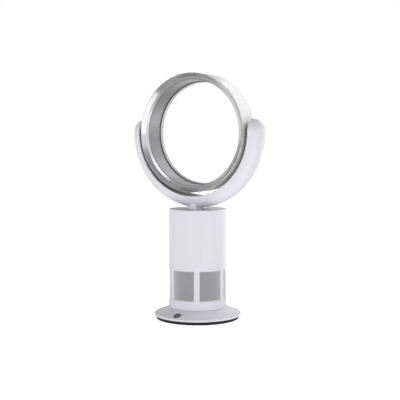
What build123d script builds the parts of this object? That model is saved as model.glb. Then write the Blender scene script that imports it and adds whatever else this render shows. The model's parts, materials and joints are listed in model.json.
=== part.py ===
from build123d import *

import os
from math import atan2, cos, degrees, hypot, pi, radians, sin, sqrt, tan

# Bladeless fan. A drum-shaped body stands on a round base and turns on it.
# A U-shaped yoke on the body's neck carries the ring, which tilts in the yoke's arms.
# Millimetres. Origin at the middle of the foot's underside, +Z up, front towards -Y.

os.makedirs("parts", exist_ok=True)

# ------------------------------------------------------------------ fits and gaps
running_fit = 0.05        # radial, a shaft or post in its bush
seat_gap = 0.15           # between pieces put together on one body
moving_gap = 0.4          # between pieces that pass each other

# ------------------------------------------------------------------ base
base_radius = 103.1
foot_inset = 4.6          # from the base's edge
foot_width = 20.5
foot_height = 8.0
foot_edge = 1.2
base_rim_height = 4.9
base_rise = 14.0          # from the rim's top edge to the level land under the body
base_wall = 2.5
base_edge_round = 1.2
land_overhang = 0.6       # the land reaches this far past the body
plate_thickness = 2.5
well_radius = 48.0
base_boss_radius = 4.5
base_boss_reach = 57.0    # from the axis
base_screw_count = 6
ballast_thickness = 3.5
ballast_gap = 0.6         # under the cover
ballast_inset = 2.6       # from the cover's bosses
notch_gap = 4.0           # the ballast ring leaves this round the button and the inlet

screw_radius = 1.5
screw_head_radius = 2.9
sink_angle = 82.0         # of the countersunk heads
blind_end = 2.0           # left closed past a blind screw hole

# ------------------------------------------------------------------ power button
button_radius = 8.75
button_rise = 5.52        # of the button's middle, above the rim's top edge
button_proud = 0.5
button_travel = 0.8
button_flange_width = 0.9
button_flange_height = 0.7
button_stem_radius = 1.5
button_stem_length = 0.9
switch_board_size = (16.0, 12.0)
switch_board_thickness = 1.0
switch_cap_width = 6.0
switch_cap_round = 0.6

# ------------------------------------------------------------------ power inlet
inlet_width = 16.0
inlet_depth = 17.0
inlet_height = 11.0
inlet_inset = 6.1         # of its face, from the base's edge
inlet_bore_radius = 2.75
inlet_bore_depth = 9.0
inlet_pin_radius = 1.0
inlet_edge_round = 1.0

# ------------------------------------------------------------------ swivel
post_radius = 13.0
post_bore_radius = 9.5
post_flange_radius = 22.0
post_flange_height = 3.0
post_screw_reach = 17.5   # from the axis
post_screw_count = 4
retainer_width = 4.5
retainer_thickness = 2.0
bush_wall = 3.5
glide_radius = 57.0
glide_width = 5.0
glide_thickness = 0.8
gear_module = 1.0
swing_gear_teeth = 60
swing_pinion_teeth = 12
gear_thickness = 5.0
tooth_backlash = 0.24     # taken off each tooth's width
centre_play = 0.05        # added to the gear pair's centre distance
pressure_angle = 20.0
pinion_shaft_radius = 2.5

# ------------------------------------------------------------------ body
body_radius = 68.0
body_wall = 2.5
body_seam = 0.5           # open seam between the body and the base
body_top = 260.5
floor_rise = 0.5          # the floor sits this far up inside the shell
floor_thickness = 3.0
hub_wall = 1.7
hub_height = 16.3
body_boss_radius = 4.0
body_boss_height = 13.0
body_boss_count = 4
body_boss_overlap = 0.6   # the bosses reach this far into the wall
swing_motor_radius = 17.4
swing_motor_height = 15.0
swing_motor_ear_reach = 21.5
swing_motor_ear_width = 7.0
swing_motor_ear_thickness = 1.2
swing_motor_top_wall = 3.0

window_count = 6
window_angle = 51.0
window_rise = 20.3        # above the body's lower edge
window_height = 72.2
grille_thickness = 1.2
grille_recess = 0.7
grille_frame = 2.0
grille_columns = 9
grille_rows = 11
grille_bar = 1.6
net_thickness = 0.8

board_size = (52.0, 26.0)
board_edge_gap = 3.6      # from its corners to the body's wall
board_thickness = 1.6
board_standoff = 5.0
board_standoff_radius = 2.2
board_inset = 4.0
board_part_height = 5.0
board_chips = (((-12.0, 0.0), (14.0, 14.0)), ((6.0, 4.0), (10.0, 7.0)))
board_capacitors = ((12.0, -6.0), (20.0, -6.0))
board_capacitor_radius = 3.2

# ------------------------------------------------------------------ blower
ledge_height = 3.0
ledge_width = 2.0
bellmouth_rise = 5.2      # above the windows
bellmouth_wall = 2.5
throat_step = 18.0        # the throat is this much narrower than the duct
lip_radius = 6.0
mount_width = 8.0
mount_thickness = 2.5
duct_gap = 5.0            # between the duct's flange and the body's wall
duct_wall = 2.5
duct_flange_width = 8.0
duct_flange_thickness = 3.0
duct_height = 82.0
duct_passage = 14.0       # between the duct and the motor's bucket
bucket_wall = 2.0
bucket_gap = 3.0          # above the impeller
bucket_floor = 6.0
bucket_height = 37.0
vane_count = 11
vane_thickness = 1.8
vane_height = 30.0
vane_lean = 7.0
impeller_rise = 9.0       # above the bellmouth's underside
impeller_height = 29.0
impeller_gap = 0.7        # from its blades to the duct
impeller_nose_wall = 4.0
impeller_shoulder = (0.4, 0.55)  # of the hub and of the blades' rim, as parts of the height
blade_count = 9
blade_thickness = 1.6
blade_curve = ((0.62, 0.14), (0.92, 0.52))  # as parts of the impeller's radius
shaft_radius = 3.0
bearing_radius = 8.0
bearing_width = 5.0
bearing_race = 1.6
bearing_groove = 0.4
stator_height = 24.0
stator_depth = 17.85      # from its outside to its bore
stator_slots = 9
stator_ring_width = 4.5
stator_tooth_width = 4.0
stator_shoe_depth = 2.0
coil_wall = 1.8
coil_gap = 1.0            # from the stator's ring and shoes
coil_end_gap = 2.0
rotor_gap = 0.6           # to the stator
motor_cap_thickness = 3.0
motor_cap_shoulder = 0.7  # as a part of its radius

# ------------------------------------------------------------------ top and neck
cover_thickness = 2.8
cover_recess = 0.5
neck_half_width = 9.3     # at the top of the stem
neck_foot_half_width = 15.0
neck_half_depth = 24.5
neck_flare_height = 7.5
neck_height = 16.0
neck_screw_x = 6.5
neck_screw_y = 19.5
neck_screw_depth = 8.0    # in the neck
collector_lip = 5.0
air_slot_width = 14.0
air_slot_length = 30.0

# ------------------------------------------------------------------ yoke
yoke_rise = 3.7           # of the yoke's lowest point, above the top cover
yoke_ring_gap = 9.2
yoke_depth = 27.5         # from the yoke's inner side to its outer side
yoke_flat = 1.5           # depth of the straight sides, before the bulge begins
yoke_half_width = 30.0
yoke_wall = 2.5
arm_end_angle = 0.65      # each arm's round end is centred this far above the axis
cap_seam_rise = 10.5      # seam of the end caps above the tilt axis
frame_edge = 5.0          # the frame is this much narrower than the yoke, each side
frame_recess = 0.4
frame_wall = 2.3
frame_wing = 2.0
frame_wing_wall = 1.5

# ------------------------------------------------------------------ pivots
trunnion_radius = 14.0
trunnion_bore = 11.5
collar_radius = 18.5
washer_thickness = 1.3
pivot_bush_wall = 2.0
pivot_boss_wall = 3.5
pivot_boss_depth = 5.0
spot_face_depth = 0.6
clip_width = 3.5
clip_thickness = 1.6
trunnion_overhang = 1.0   # past the clip

# ------------------------------------------------------------------ ring
ring_radius = 139.3       # over the bezel's rim
ring_taper = 0.6          # the ring narrows by this towards the rear
ring_front_depth = 35.9   # from the tilt axis to the bezel's rim
ring_rear = 34.5          # from the tilt axis to the rear rim
ring_wall = 2.0
bezel_side = 2.4
bezel_wall = 1.8
bezel_outer_facet = (8.3, 11.0)  # inward and rearward
bezel_inner_facet = (7.4, 3.4)
bezel_tongue = 4.0
groove_width = 2.5        # shadow line between the bezel and the outer shell
groove_depth = 1.2
inner_shell_wall = 1.8
inner_shell_taper = 1.1
inner_shell_inset = 6.5   # of its end, from the rear rim's back
rim_depth = 16.5
rim_outer_round = 10.5
rim_inner_round = 4.0
rim_wall = 1.5
rim_flat = 2.0             # from the rim's outer round to the lip's seam
rim_tongue = 1.6           # under the lip
lip_depth = 11.0
lip_lean = 1.6
air_gap = 1.1             # between the inner shell and the lip
spacer_count = 12
spacer_angle = 1.4

# ------------------------------------------------------------------ worked-out levels
plate_top = foot_height + plate_thickness
rim_top = foot_height + base_rim_height
land_level = rim_top + base_rise
land_radius = body_radius + land_overhang
cone_slope = atan2(base_rise, base_radius - land_radius)
body_bottom = land_level + body_seam
floor_bottom = body_bottom + floor_rise
floor_top = floor_bottom + floor_thickness
screw_hole = (screw_radius + seat_gap, screw_head_radius + seat_gap, None, sink_angle)
screw_head_height = (screw_head_radius - screw_radius) / tan(radians(sink_angle / 2))
hub_top = floor_bottom + hub_height
post_top = hub_top + seat_gap + running_fit
foot_radius = base_radius - foot_inset
button_place_radius = land_radius + (base_rise - button_rise) / tan(cone_slope)
inlet_face_radius = base_radius - inlet_inset
shell_bore = body_radius - body_wall
inner_fit_radius = shell_bore - seat_gap
boss_reach = shell_bore - body_boss_radius + body_boss_overlap
boss_top = floor_top + body_boss_height
gear_bottom = plate_top + post_flange_height
gear_distance = gear_module * (swing_gear_teeth + swing_pinion_teeth) / 2 + centre_play
board_corner_radius = inner_fit_radius - board_edge_gap
board_centre = board_size[1] / 2 - sqrt(board_corner_radius**2 - (board_size[0] / 2) ** 2)
cover_top = body_top - cover_recess
cover_bottom = cover_top - cover_thickness
window_bottom = body_bottom + window_rise
bellmouth_bottom = window_bottom + window_height + bellmouth_rise
bellmouth_top = bellmouth_bottom + bellmouth_wall
duct_bore = shell_bore - duct_gap - duct_flange_width - duct_wall
duct_bottom = bellmouth_top + mount_thickness
duct_top = duct_bottom + duct_height
throat_bore = duct_bore - throat_step
impeller_radius = duct_bore - impeller_gap
impeller_bottom = bellmouth_bottom + impeller_rise
impeller_top = impeller_bottom + impeller_height
bucket_radius = duct_bore - duct_passage
bucket_bottom = impeller_top + bucket_gap
bucket_top = bucket_bottom + bucket_height
bucket_inside = bucket_bottom + bucket_floor
stator_outer = bucket_radius - bucket_wall - seat_gap
stator_bore = stator_outer - stator_depth
rotor_radius = stator_bore - rotor_gap
ring_rear_radius = ring_radius - ring_taper
yoke_inner_radius = ring_radius + yoke_ring_gap
yoke_side_radius = yoke_inner_radius + yoke_flat
yoke_outer_radius = yoke_inner_radius + yoke_depth
ring_height = cover_top + yoke_rise + yoke_outer_radius
ring_centre = (0.0, 0.0, ring_height)
tilt_plane = Plane.XY.offset(ring_height)
ring_axis = Axis(ring_centre, (0, 1, 0))
neck_top = cover_top + neck_height
frame_half_width = yoke_half_width - frame_edge
frame_inner_radius = yoke_inner_radius + frame_recess
frame_step_radius = yoke_inner_radius + yoke_wall + seat_gap
spot_face = frame_inner_radius + spot_face_depth
pivot_boss_end = spot_face + pivot_boss_depth


def cone_height(radius):
    """Height of the base cover's outer cone at a distance from the axis."""
    return land_level - (radius - land_radius) * tan(cone_slope)


def cone_underside(radius):
    """Height of the base cover's inner cone at a distance from the axis."""
    return cone_height(radius) - base_wall / cos(cone_slope)


def upright_plane(angle):
    """Plane through the body's axis: x points outward at the angle, y points up."""
    across, along = cos(radians(angle)), sin(radians(angle))
    return Plane(origin=(0, 0, 0), x_dir=(across, along, 0), z_dir=(along, -across, 0))


def outward_plane(angle, radius, height):
    """Plane facing outward at the angle: x runs round the body, y points up."""
    across, along = cos(radians(angle)), sin(radians(angle))
    return Plane(
        origin=(radius * across, radius * along, height),
        x_dir=(-along, across, 0),
        z_dir=(across, along, 0),
    )


def arm_plane(angle):
    """Plane through the tilt centre: x points outward at the angle, y runs along Y."""
    across, up = cos(radians(angle)), sin(radians(angle))
    return Plane(origin=ring_centre, x_dir=(across, 0, up), z_dir=(-up, 0, across))


def yoke_form(inner, side, outer, half_width):
    """Closed U with round ends. Its section is flat inside and bulges outside."""
    with BuildSketch() as half:
        with BuildLine():
            Polyline((outer, 0), (inner, 0), (inner, half_width), (side, half_width))
            if outer > side:
                EllipticalCenterArc((side, 0), outer - side, half_width, arc_size=90)
            else:
                Line((side, half_width), (outer, 0))
        make_face()
    with BuildPart() as form:
        with BuildSketch(arm_plane(arm_end_angle)):
            add(half.sketch)
            mirror(about=Plane.XZ)
        revolve(axis=ring_axis, revolution_arc=180 + 2 * arm_end_angle)
        for side_sign, angle in ((1, arm_end_angle), (-1, 180 - arm_end_angle)):
            with BuildSketch(arm_plane(angle)):
                add(half.sketch)
            end_axis = Axis(ring_centre, arm_plane(angle).x_dir)
            revolve(axis=end_axis, revolution_arc=180 * side_sign)
    return form.part


def gear_outline(teeth, phase):
    """Corner points of a straight-flanked gear. Phase turns it, in tooth pitches."""
    pitch_radius = gear_module * teeth / 2
    root_radius = pitch_radius - 1.25 * gear_module
    tip_radius = pitch_radius + gear_module
    pitch_angle = 2 * pi / teeth
    half_pitch_width = (pi * gear_module / 2 - tooth_backlash) / 2 / pitch_radius
    flank = tan(radians(pressure_angle))
    half_root = half_pitch_width + 1.25 * gear_module * flank / pitch_radius
    half_tip = half_pitch_width - gear_module * flank / pitch_radius
    points = []
    for tooth in range(teeth):
        middle = (tooth + phase) * pitch_angle
        for radius, offset in (
            (root_radius, -half_root),
            (tip_radius, -half_tip),
            (tip_radius, half_tip),
            (root_radius, half_root),
        ):
            points.append((radius * cos(middle + offset), radius * sin(middle + offset)))
    return points


yoke_envelope = yoke_form(yoke_inner_radius, yoke_side_radius, yoke_outer_radius, yoke_half_width)
yoke_cavity = yoke_form(
    yoke_inner_radius + yoke_wall,
    max(yoke_side_radius, frame_step_radius),
    yoke_outer_radius - yoke_wall,
    yoke_half_width - yoke_wall,
)
frame_opening = yoke_form(
    yoke_inner_radius - yoke_wall,
    yoke_inner_radius + 1.5 * yoke_wall,
    yoke_inner_radius + 1.5 * yoke_wall,
    frame_half_width + seat_gap,
)

# ================================================================== base
with BuildPart() as rubber_foot:
    with BuildSketch():
        Circle(foot_radius)
        Circle(foot_radius - foot_width, mode=Mode.SUBTRACT)
    extrude(amount=foot_height)
    fillet(rubber_foot.edges().group_by(Axis.Z)[0], foot_edge)
rubber_foot.part.label = "rubber_foot"
export_step(rubber_foot.part, "parts/rubber_foot.step")

with BuildPart() as base_plate:
    with BuildSketch(Plane.XY.offset(foot_height)):
        Circle(base_radius - base_wall - seat_gap)
    extrude(amount=plate_thickness)
    with Locations(Plane.XY.offset(foot_height) * Rotation(180, 0, 0)):
        with PolarLocations(base_boss_reach, base_screw_count):
            CounterSinkHole(*screw_hole)
        with PolarLocations(post_screw_reach, post_screw_count, start_angle=45):
            CounterSinkHole(*screw_hole)
base_plate.part.label = "base_plate"
export_step(base_plate.part, "parts/base_plate.step")

# The steel ring reaches out to where the cover comes down to it.
ballast_inner = base_boss_reach + base_boss_radius + ballast_inset
ballast_ceiling = plate_top + ballast_thickness + ballast_gap
ballast_outer = land_radius + (cone_underside(land_radius) - ballast_ceiling) / tan(cone_slope)
button_notch = button_place_radius - button_radius - notch_gap
inlet_notch = inlet_face_radius - inlet_depth - notch_gap
with BuildPart() as ballast_ring:
    with BuildSketch(Plane.XY.offset(plate_top)):
        Circle(ballast_outer)
        Circle(ballast_inner, mode=Mode.SUBTRACT)
        for side, notch, half_width in (
            (-1, button_notch, button_radius + notch_gap),
            (1, inlet_notch, inlet_width / 2 + notch_gap),
        ):
            with Locations((0, side * (notch + base_radius) / 2)):
                Rectangle(2 * half_width, base_radius - notch, mode=Mode.SUBTRACT)
    extrude(amount=ballast_thickness)
ballast_ring.part.label = "ballast_ring"
export_step(ballast_ring.part, "parts/ballast_ring.step")

button_plane = Plane(
    origin=(0, -button_place_radius, cone_height(button_place_radius)),
    x_dir=(1, 0, 0),
    z_dir=(0, -sin(cone_slope), cos(cone_slope)),
)
inlet_middle = inlet_face_radius - inlet_depth / 2
with BuildPart() as base_cover:
    with BuildSketch(Plane.XZ) as cover_section:
        inner_land = land_radius - base_wall * (1 / cos(cone_slope) - 1) / tan(cone_slope)
        inner_rim = base_radius - base_wall
        with BuildLine():
            Polyline(
                (base_radius, foot_height),
                (base_radius, rim_top),
                (land_radius, land_level),
                (well_radius, land_level),
                (well_radius, plate_top),
                (well_radius + base_wall, plate_top),
                (well_radius + base_wall, land_level - base_wall),
                (inner_land, land_level - base_wall),
                (inner_rim, cone_underside(inner_rim)),
                (inner_rim, foot_height),
                close=True,
            )
        make_face()
        rim_corner = cover_section.vertices().sort_by_distance((base_radius, rim_top))[0]
        fillet(rim_corner, base_edge_round)
        land_corner = cover_section.vertices().sort_by_distance((land_radius, land_level))[0]
        fillet(land_corner, base_edge_round)
    revolve(axis=Axis.Z)
    with BuildSketch(Plane.XY.offset(plate_top)):
        with PolarLocations(base_boss_reach, base_screw_count):
            Circle(base_boss_radius)
    extrude(amount=land_level - base_wall - plate_top)
    with BuildSketch(Plane.XY.offset(plate_top)):
        with PolarLocations(base_boss_reach, base_screw_count):
            Circle(screw_radius + running_fit)
    extrude(amount=land_level - 2 * base_wall - plate_top, mode=Mode.SUBTRACT)
    with BuildSketch(button_plane):
        Circle(button_radius + seat_gap * 2)
    extrude(amount=2 * base_wall, both=True, mode=Mode.SUBTRACT)
    with BuildSketch(Plane.XY.offset(plate_top)):
        with Locations((0, inlet_middle)):
            Rectangle(inlet_width + 2 * seat_gap, inlet_depth + 2 * seat_gap)
    extrude(amount=inlet_height + 2 * base_wall, mode=Mode.SUBTRACT)
base_cover.part.label = "base_cover"
export_step(base_cover.part, "parts/base_cover.step")

with BuildPart() as base_screws:
    screw_length = land_level - 2 * base_wall - foot_height - blind_end
    post_screw_length = plate_thickness + post_flange_height - seat_gap
    for count, circle, start, length in (
        (base_screw_count, base_boss_reach, 0, screw_length),
        (post_screw_count, post_screw_reach, 45, post_screw_length),
    ):
        for step in range(count):
            with BuildSketch(upright_plane(start + 360 * step / count)):
                with BuildLine():
                    Polyline(
                        (circle, foot_height + seat_gap),
                        (circle + screw_head_radius, foot_height + seat_gap),
                        (circle + screw_radius, foot_height + seat_gap + screw_head_height),
                        (circle + screw_radius, foot_height + length),
                        (circle, foot_height + length),
                        close=True,
                    )
                make_face()
            screw_spot = upright_plane(start + 360 * step / count).from_local_coords((circle, 0, 0))
            revolve(axis=Axis(screw_spot, (0, 0, 1)))
base_screws.part.label = "base_screws"
export_step(base_screws.part, "parts/base_screws.step")

# ------------------------------------------------------------------ button and switch
flange_top = base_wall + seat_gap * 2
flange_bottom = flange_top + button_flange_height
with BuildPart() as power_button:
    with BuildSketch(button_plane.offset(button_proud)):
        Circle(button_radius)
    extrude(amount=-(button_proud + flange_bottom))
    above_button = button_plane.offset(button_radius).origin
    button_rims = power_button.edges().filter_by(GeomType.CIRCLE)
    fillet(button_rims.sort_by_distance(above_button)[0], button_proud * 0.8)
    with BuildSketch(button_plane.offset(-flange_top)):
        Circle(button_radius + button_flange_width)
    extrude(amount=-button_flange_height)
    with BuildSketch(button_plane.offset(-flange_bottom)):
        Circle(button_stem_radius)
    extrude(amount=-button_stem_length)
power_button.part.label = "power_button"
export_step(power_button.part, "parts/power_button.step")

# The switch sits on its board right under the button's stem.
stem_end = button_plane.from_local_coords((0, 0, -(flange_bottom + button_stem_length)))
stem_low = stem_end.Z - button_stem_radius * sin(cone_slope)
switch_top = stem_low - button_travel - seat_gap
with BuildPart() as button_switch:
    with BuildSketch(Plane.XY.offset(plate_top)):
        with Locations((0, stem_end.Y)):
            Rectangle(*switch_board_size)
    extrude(amount=switch_board_thickness)
    with BuildSketch(Plane.XY.offset(plate_top + switch_board_thickness)):
        with Locations((0, stem_end.Y)):
            RectangleRounded(switch_cap_width, switch_cap_width, switch_cap_round)
    extrude(amount=switch_top - plate_top - switch_board_thickness)
button_switch.part.label = "button_switch"
export_step(button_switch.part, "parts/button_switch.step")

with BuildPart() as power_inlet:
    with BuildSketch(Plane.XY.offset(plate_top)):
        with Locations((0, inlet_middle)):
            Rectangle(inlet_width, inlet_depth)
    extrude(amount=inlet_height)
    fillet(power_inlet.edges().group_by(Axis.Z)[-1], inlet_edge_round)
    inlet_face = Plane(
        origin=(0, inlet_face_radius, plate_top + inlet_height / 2),
        x_dir=(-1, 0, 0),
        z_dir=(0, 1, 0),
    )
    with BuildSketch(inlet_face):
        Circle(inlet_bore_radius)
        Circle(inlet_pin_radius, mode=Mode.SUBTRACT)
    extrude(amount=-inlet_bore_depth, mode=Mode.SUBTRACT)
power_inlet.part.label = "power_inlet"
export_step(power_inlet.part, "parts/power_inlet.step")

# ------------------------------------------------------------------ swivel in the base
with BuildPart() as pivot_post:
    with BuildSketch(Plane.XY.offset(plate_top)):
        Circle(post_flange_radius)
    extrude(amount=post_flange_height)
    with BuildSketch(Plane.XY.offset(plate_top)):
        Circle(post_radius)
    extrude(amount=post_top - plate_top)
    with BuildSketch(Plane.XY.offset(plate_top)):
        Circle(post_bore_radius)
        with PolarLocations(post_screw_reach, post_screw_count, start_angle=45):
            Circle(screw_radius + running_fit)
    extrude(amount=post_top - plate_top, mode=Mode.SUBTRACT)
pivot_post.part.label = "pivot_post"
export_step(pivot_post.part, "parts/pivot_post.step")

with BuildPart() as swing_gear:
    with BuildSketch(Plane.XY.offset(gear_bottom)):
        with BuildLine():
            Polyline(*gear_outline(swing_gear_teeth, 0.0), close=True)
        make_face()
        Circle(post_radius + running_fit, mode=Mode.SUBTRACT)
    extrude(amount=gear_thickness)
swing_gear.part.label = "swing_gear"
export_step(swing_gear.part, "parts/swing_gear.step")

with BuildPart() as glide_ring:
    with BuildSketch(Plane.XY.offset(land_level)):
        Circle(glide_radius)
        Circle(glide_radius - glide_width, mode=Mode.SUBTRACT)
    extrude(amount=glide_thickness)
glide_ring.part.label = "glide_ring"
export_step(glide_ring.part, "parts/glide_ring.step")

with BuildPart() as swivel_retainer:
    with BuildSketch(Plane.XY.offset(post_top)):
        Circle(post_radius + retainer_width)
        Circle(post_bore_radius, mode=Mode.SUBTRACT)
    extrude(amount=retainer_thickness)
swivel_retainer.part.label = "swivel_retainer"
export_step(swivel_retainer.part, "parts/swivel_retainer.step")

# ================================================================== body
with BuildPart() as body_shell:
    with BuildSketch(Plane.XY.offset(body_bottom)):
        Circle(body_radius)
        Circle(shell_bore, mode=Mode.SUBTRACT)
    extrude(amount=body_top - body_bottom)
    for ledge_top in (bellmouth_bottom, cover_bottom):
        with BuildSketch(Plane.XY.offset(ledge_top - ledge_height)):
            Circle(shell_bore + body_wall / 2)
            Circle(shell_bore - ledge_width, mode=Mode.SUBTRACT)
        extrude(amount=ledge_height)
    with BuildSketch(Plane.XY.offset(floor_top)):
        with PolarLocations(boss_reach, body_boss_count, start_angle=45):
            Circle(body_boss_radius)
    extrude(amount=body_boss_height)
    with BuildSketch(Plane.XY.offset(floor_top)):
        with PolarLocations(boss_reach, body_boss_count, start_angle=45):
            Circle(screw_radius + running_fit)
    extrude(amount=body_boss_height - blind_end, mode=Mode.SUBTRACT)
    for window in range(window_count):
        start = -90 + window * 360 / window_count - window_angle / 2
        with BuildSketch(upright_plane(start)):
            with Locations((body_radius, window_bottom + window_height / 2)):
                Rectangle(4 * body_wall, window_height)
        revolve(axis=Axis.Z, revolution_arc=window_angle, mode=Mode.SUBTRACT)
body_shell.part.label = "body_shell"
export_step(body_shell.part, "parts/body_shell.step")

# Each grille fills its window and is held by a frame behind the shell's wall.
grille_outer = body_radius - grille_recess
grille_inner = grille_outer - grille_thickness
frame_outer = shell_bore - seat_gap
mesh_angle = window_angle - degrees(2 * seat_gap / body_radius)
frame_angle = window_angle + degrees(2 * grille_frame / body_radius)
mesh_bottom = window_bottom + seat_gap
mesh_height = window_height - 2 * seat_gap
hole_pitch_angle = (mesh_angle - degrees(2 * grille_bar / body_radius)) / grille_columns
hole_pitch_height = (mesh_height - 2 * grille_bar) / grille_rows
hole_width = radians(hole_pitch_angle) * grille_outer - grille_bar
hole_height = hole_pitch_height - grille_bar
window_middle = window_bottom + window_height / 2
with BuildPart() as front_grille:
    with BuildSketch(upright_plane(-90 - mesh_angle / 2)):
        with Locations(((frame_outer + grille_outer) / 2, window_middle)):
            Rectangle(grille_outer - frame_outer, mesh_height)
    revolve(axis=Axis.Z, revolution_arc=mesh_angle)
    with BuildSketch(upright_plane(-90 - frame_angle / 2)):
        with Locations((frame_outer - grille_thickness / 2, window_middle)):
            Rectangle(grille_thickness, window_height + 2 * grille_frame)
    revolve(axis=Axis.Z, revolution_arc=frame_angle)
    inside_angle = mesh_angle - degrees(2 * grille_bar / body_radius)
    with BuildSketch(upright_plane(-90 - inside_angle / 2)):
        with Locations((grille_inner - 2 * grille_thickness, window_middle)):
            Rectangle(4 * grille_thickness, mesh_height - 2 * grille_bar)
    revolve(axis=Axis.Z, revolution_arc=inside_angle, mode=Mode.SUBTRACT)
    hole_spots = [
        outward_plane(
            -90 + (column - (grille_columns - 1) / 2) * hole_pitch_angle,
            grille_inner,
            mesh_bottom + grille_bar + (row + 0.5) * hole_pitch_height,
        )
        for column in range(grille_columns)
        for row in range(grille_rows)
    ]
    with BuildSketch(*hole_spots):
        Rectangle(hole_width, hole_height)
    extrude(amount=2 * grille_thickness, both=True, mode=Mode.SUBTRACT)
for window in range(window_count):
    with BuildPart() as intake_grille:
        add(front_grille.part, rotation=(0, 0, window * 360 / window_count))
    grille_name = f"intake_grille_{window + 1}"
    intake_grille.part.label = grille_name
    export_step(intake_grille.part, f"parts/{grille_name}.step")

net_outer = frame_outer - grille_thickness - seat_gap
with BuildPart() as dust_net:
    with BuildSketch(Plane.XY.offset(boss_top + seat_gap)):
        Circle(net_outer)
        Circle(net_outer - net_thickness, mode=Mode.SUBTRACT)
    extrude(amount=bellmouth_bottom - ledge_height - boss_top - 2 * seat_gap)
dust_net.part.label = "dust_net"
export_step(dust_net.part, "parts/dust_net.step")

with BuildPart() as body_floor:
    with BuildSketch(Plane.XY.offset(floor_bottom)):
        Circle(inner_fit_radius)
    extrude(amount=floor_thickness)
    with BuildSketch(Plane.XY.offset(floor_bottom)):
        Circle(post_radius + bush_wall + hub_wall)
    extrude(amount=hub_height)
    with BuildSketch(Plane.XY.offset(floor_bottom)):
        Circle(post_radius + bush_wall)
    extrude(amount=hub_height, mode=Mode.SUBTRACT)
    with BuildSketch(Plane.XY.offset(floor_bottom)):
        with Locations((0, gear_distance)):
            Circle(2 * pinion_shaft_radius)
    extrude(amount=floor_thickness, mode=Mode.SUBTRACT)
    with Locations(Plane.XY.offset(floor_bottom) * Rotation(180, 0, 0)):
        with PolarLocations(boss_reach, body_boss_count, start_angle=45):
            CounterSinkHole(*screw_hole)
    with BuildSketch(Plane.XY.offset(floor_top)):
        with Locations((0, board_centre)):
            with GridLocations(board_size[0] - 2 * board_inset, board_size[1] - 2 * board_inset, 2, 2):
                Circle(board_standoff_radius)
    extrude(amount=board_standoff)
body_floor.part.label = "body_floor"
export_step(body_floor.part, "parts/body_floor.step")

with BuildPart() as body_screws:
    for step in range(body_boss_count):
        spot_angle = 45 + 360 * step / body_boss_count
        with BuildSketch(upright_plane(spot_angle)):
            with BuildLine():
                Polyline(
                    (boss_reach, floor_bottom + seat_gap),
                    (boss_reach + screw_head_radius, floor_bottom + seat_gap),
                    (boss_reach + screw_radius, floor_bottom + seat_gap + screw_head_height),
                    (boss_reach + screw_radius, boss_top - 2 * blind_end),
                    (boss_reach, boss_top - 2 * blind_end),
                    close=True,
                )
            make_face()
        screw_spot = upright_plane(spot_angle).from_local_coords((boss_reach, 0, 0))
        revolve(axis=Axis(screw_spot, (0, 0, 1)))
body_screws.part.label = "body_screws"
export_step(body_screws.part, "parts/body_screws.step")

with BuildPart() as swivel_bush:
    with BuildSketch(Plane.XY.offset(floor_bottom)):
        Circle(post_radius + bush_wall)
        Circle(post_radius + running_fit, mode=Mode.SUBTRACT)
    extrude(amount=hub_height)
swivel_bush.part.label = "swivel_bush"
export_step(swivel_bush.part, "parts/swivel_bush.step")

board_bottom = floor_top + board_standoff
with BuildPart() as control_board:
    with BuildSketch(Plane.XY.offset(board_bottom)):
        with Locations((0, board_centre)):
            Rectangle(*board_size)
    extrude(amount=board_thickness)
    with BuildSketch(Plane.XY.offset(board_bottom + board_thickness)):
        with Locations((0, board_centre)):
            for chip_spot, chip_size in board_chips:
                with Locations(chip_spot):
                    Rectangle(*chip_size)
            with Locations(*board_capacitors):
                Circle(board_capacitor_radius)
    extrude(amount=board_part_height)
control_board.part.label = "control_board"
export_step(control_board.part, "parts/control_board.step")

# ------------------------------------------------------------------ oscillation drive
pinion_bottom = gear_bottom + seat_gap
pinion_thickness = gear_thickness - 2 * seat_gap
motor_shaft_top = floor_top + swing_motor_height - swing_motor_top_wall
with BuildPart() as swing_motor:
    with BuildSketch(Plane.XY.offset(floor_top)):
        with Locations((0, gear_distance)):
            Circle(swing_motor_radius)
    extrude(amount=swing_motor_height)
    with BuildSketch(Plane.XY.offset(floor_top)):
        with Locations((0, gear_distance)):
            SlotOverall(2 * swing_motor_ear_reach + swing_motor_ear_width, swing_motor_ear_width)
    extrude(amount=swing_motor_ear_thickness)
    with BuildSketch(Plane.XY.offset(floor_bottom)):
        with Locations((0, gear_distance)):
            Circle(2 * pinion_shaft_radius - seat_gap)
    extrude(amount=floor_thickness)
    with BuildSketch(Plane.XY.offset(floor_bottom)):
        with Locations((0, gear_distance)):
            Circle(pinion_shaft_radius + running_fit)
    extrude(amount=motor_shaft_top - floor_bottom, mode=Mode.SUBTRACT)
swing_motor.part.label = "swing_motor"
export_step(swing_motor.part, "parts/swing_motor.step")

# A tooth gap of the pinion faces the gear, where the gear has a tooth.
mesh_phase = 0.5 + swing_pinion_teeth / 4
with BuildPart() as swing_pinion:
    with BuildSketch(Plane(origin=(0, gear_distance, pinion_bottom))):
        with BuildLine():
            Polyline(*gear_outline(swing_pinion_teeth, mesh_phase), close=True)
        make_face()
    extrude(amount=pinion_thickness)
    with BuildSketch(Plane(origin=(0, gear_distance, pinion_bottom))):
        Circle(pinion_shaft_radius)
    extrude(amount=motor_shaft_top - seat_gap - pinion_bottom)
swing_pinion.part.label = "swing_pinion"
export_step(swing_pinion.part, "parts/swing_pinion.step")

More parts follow.
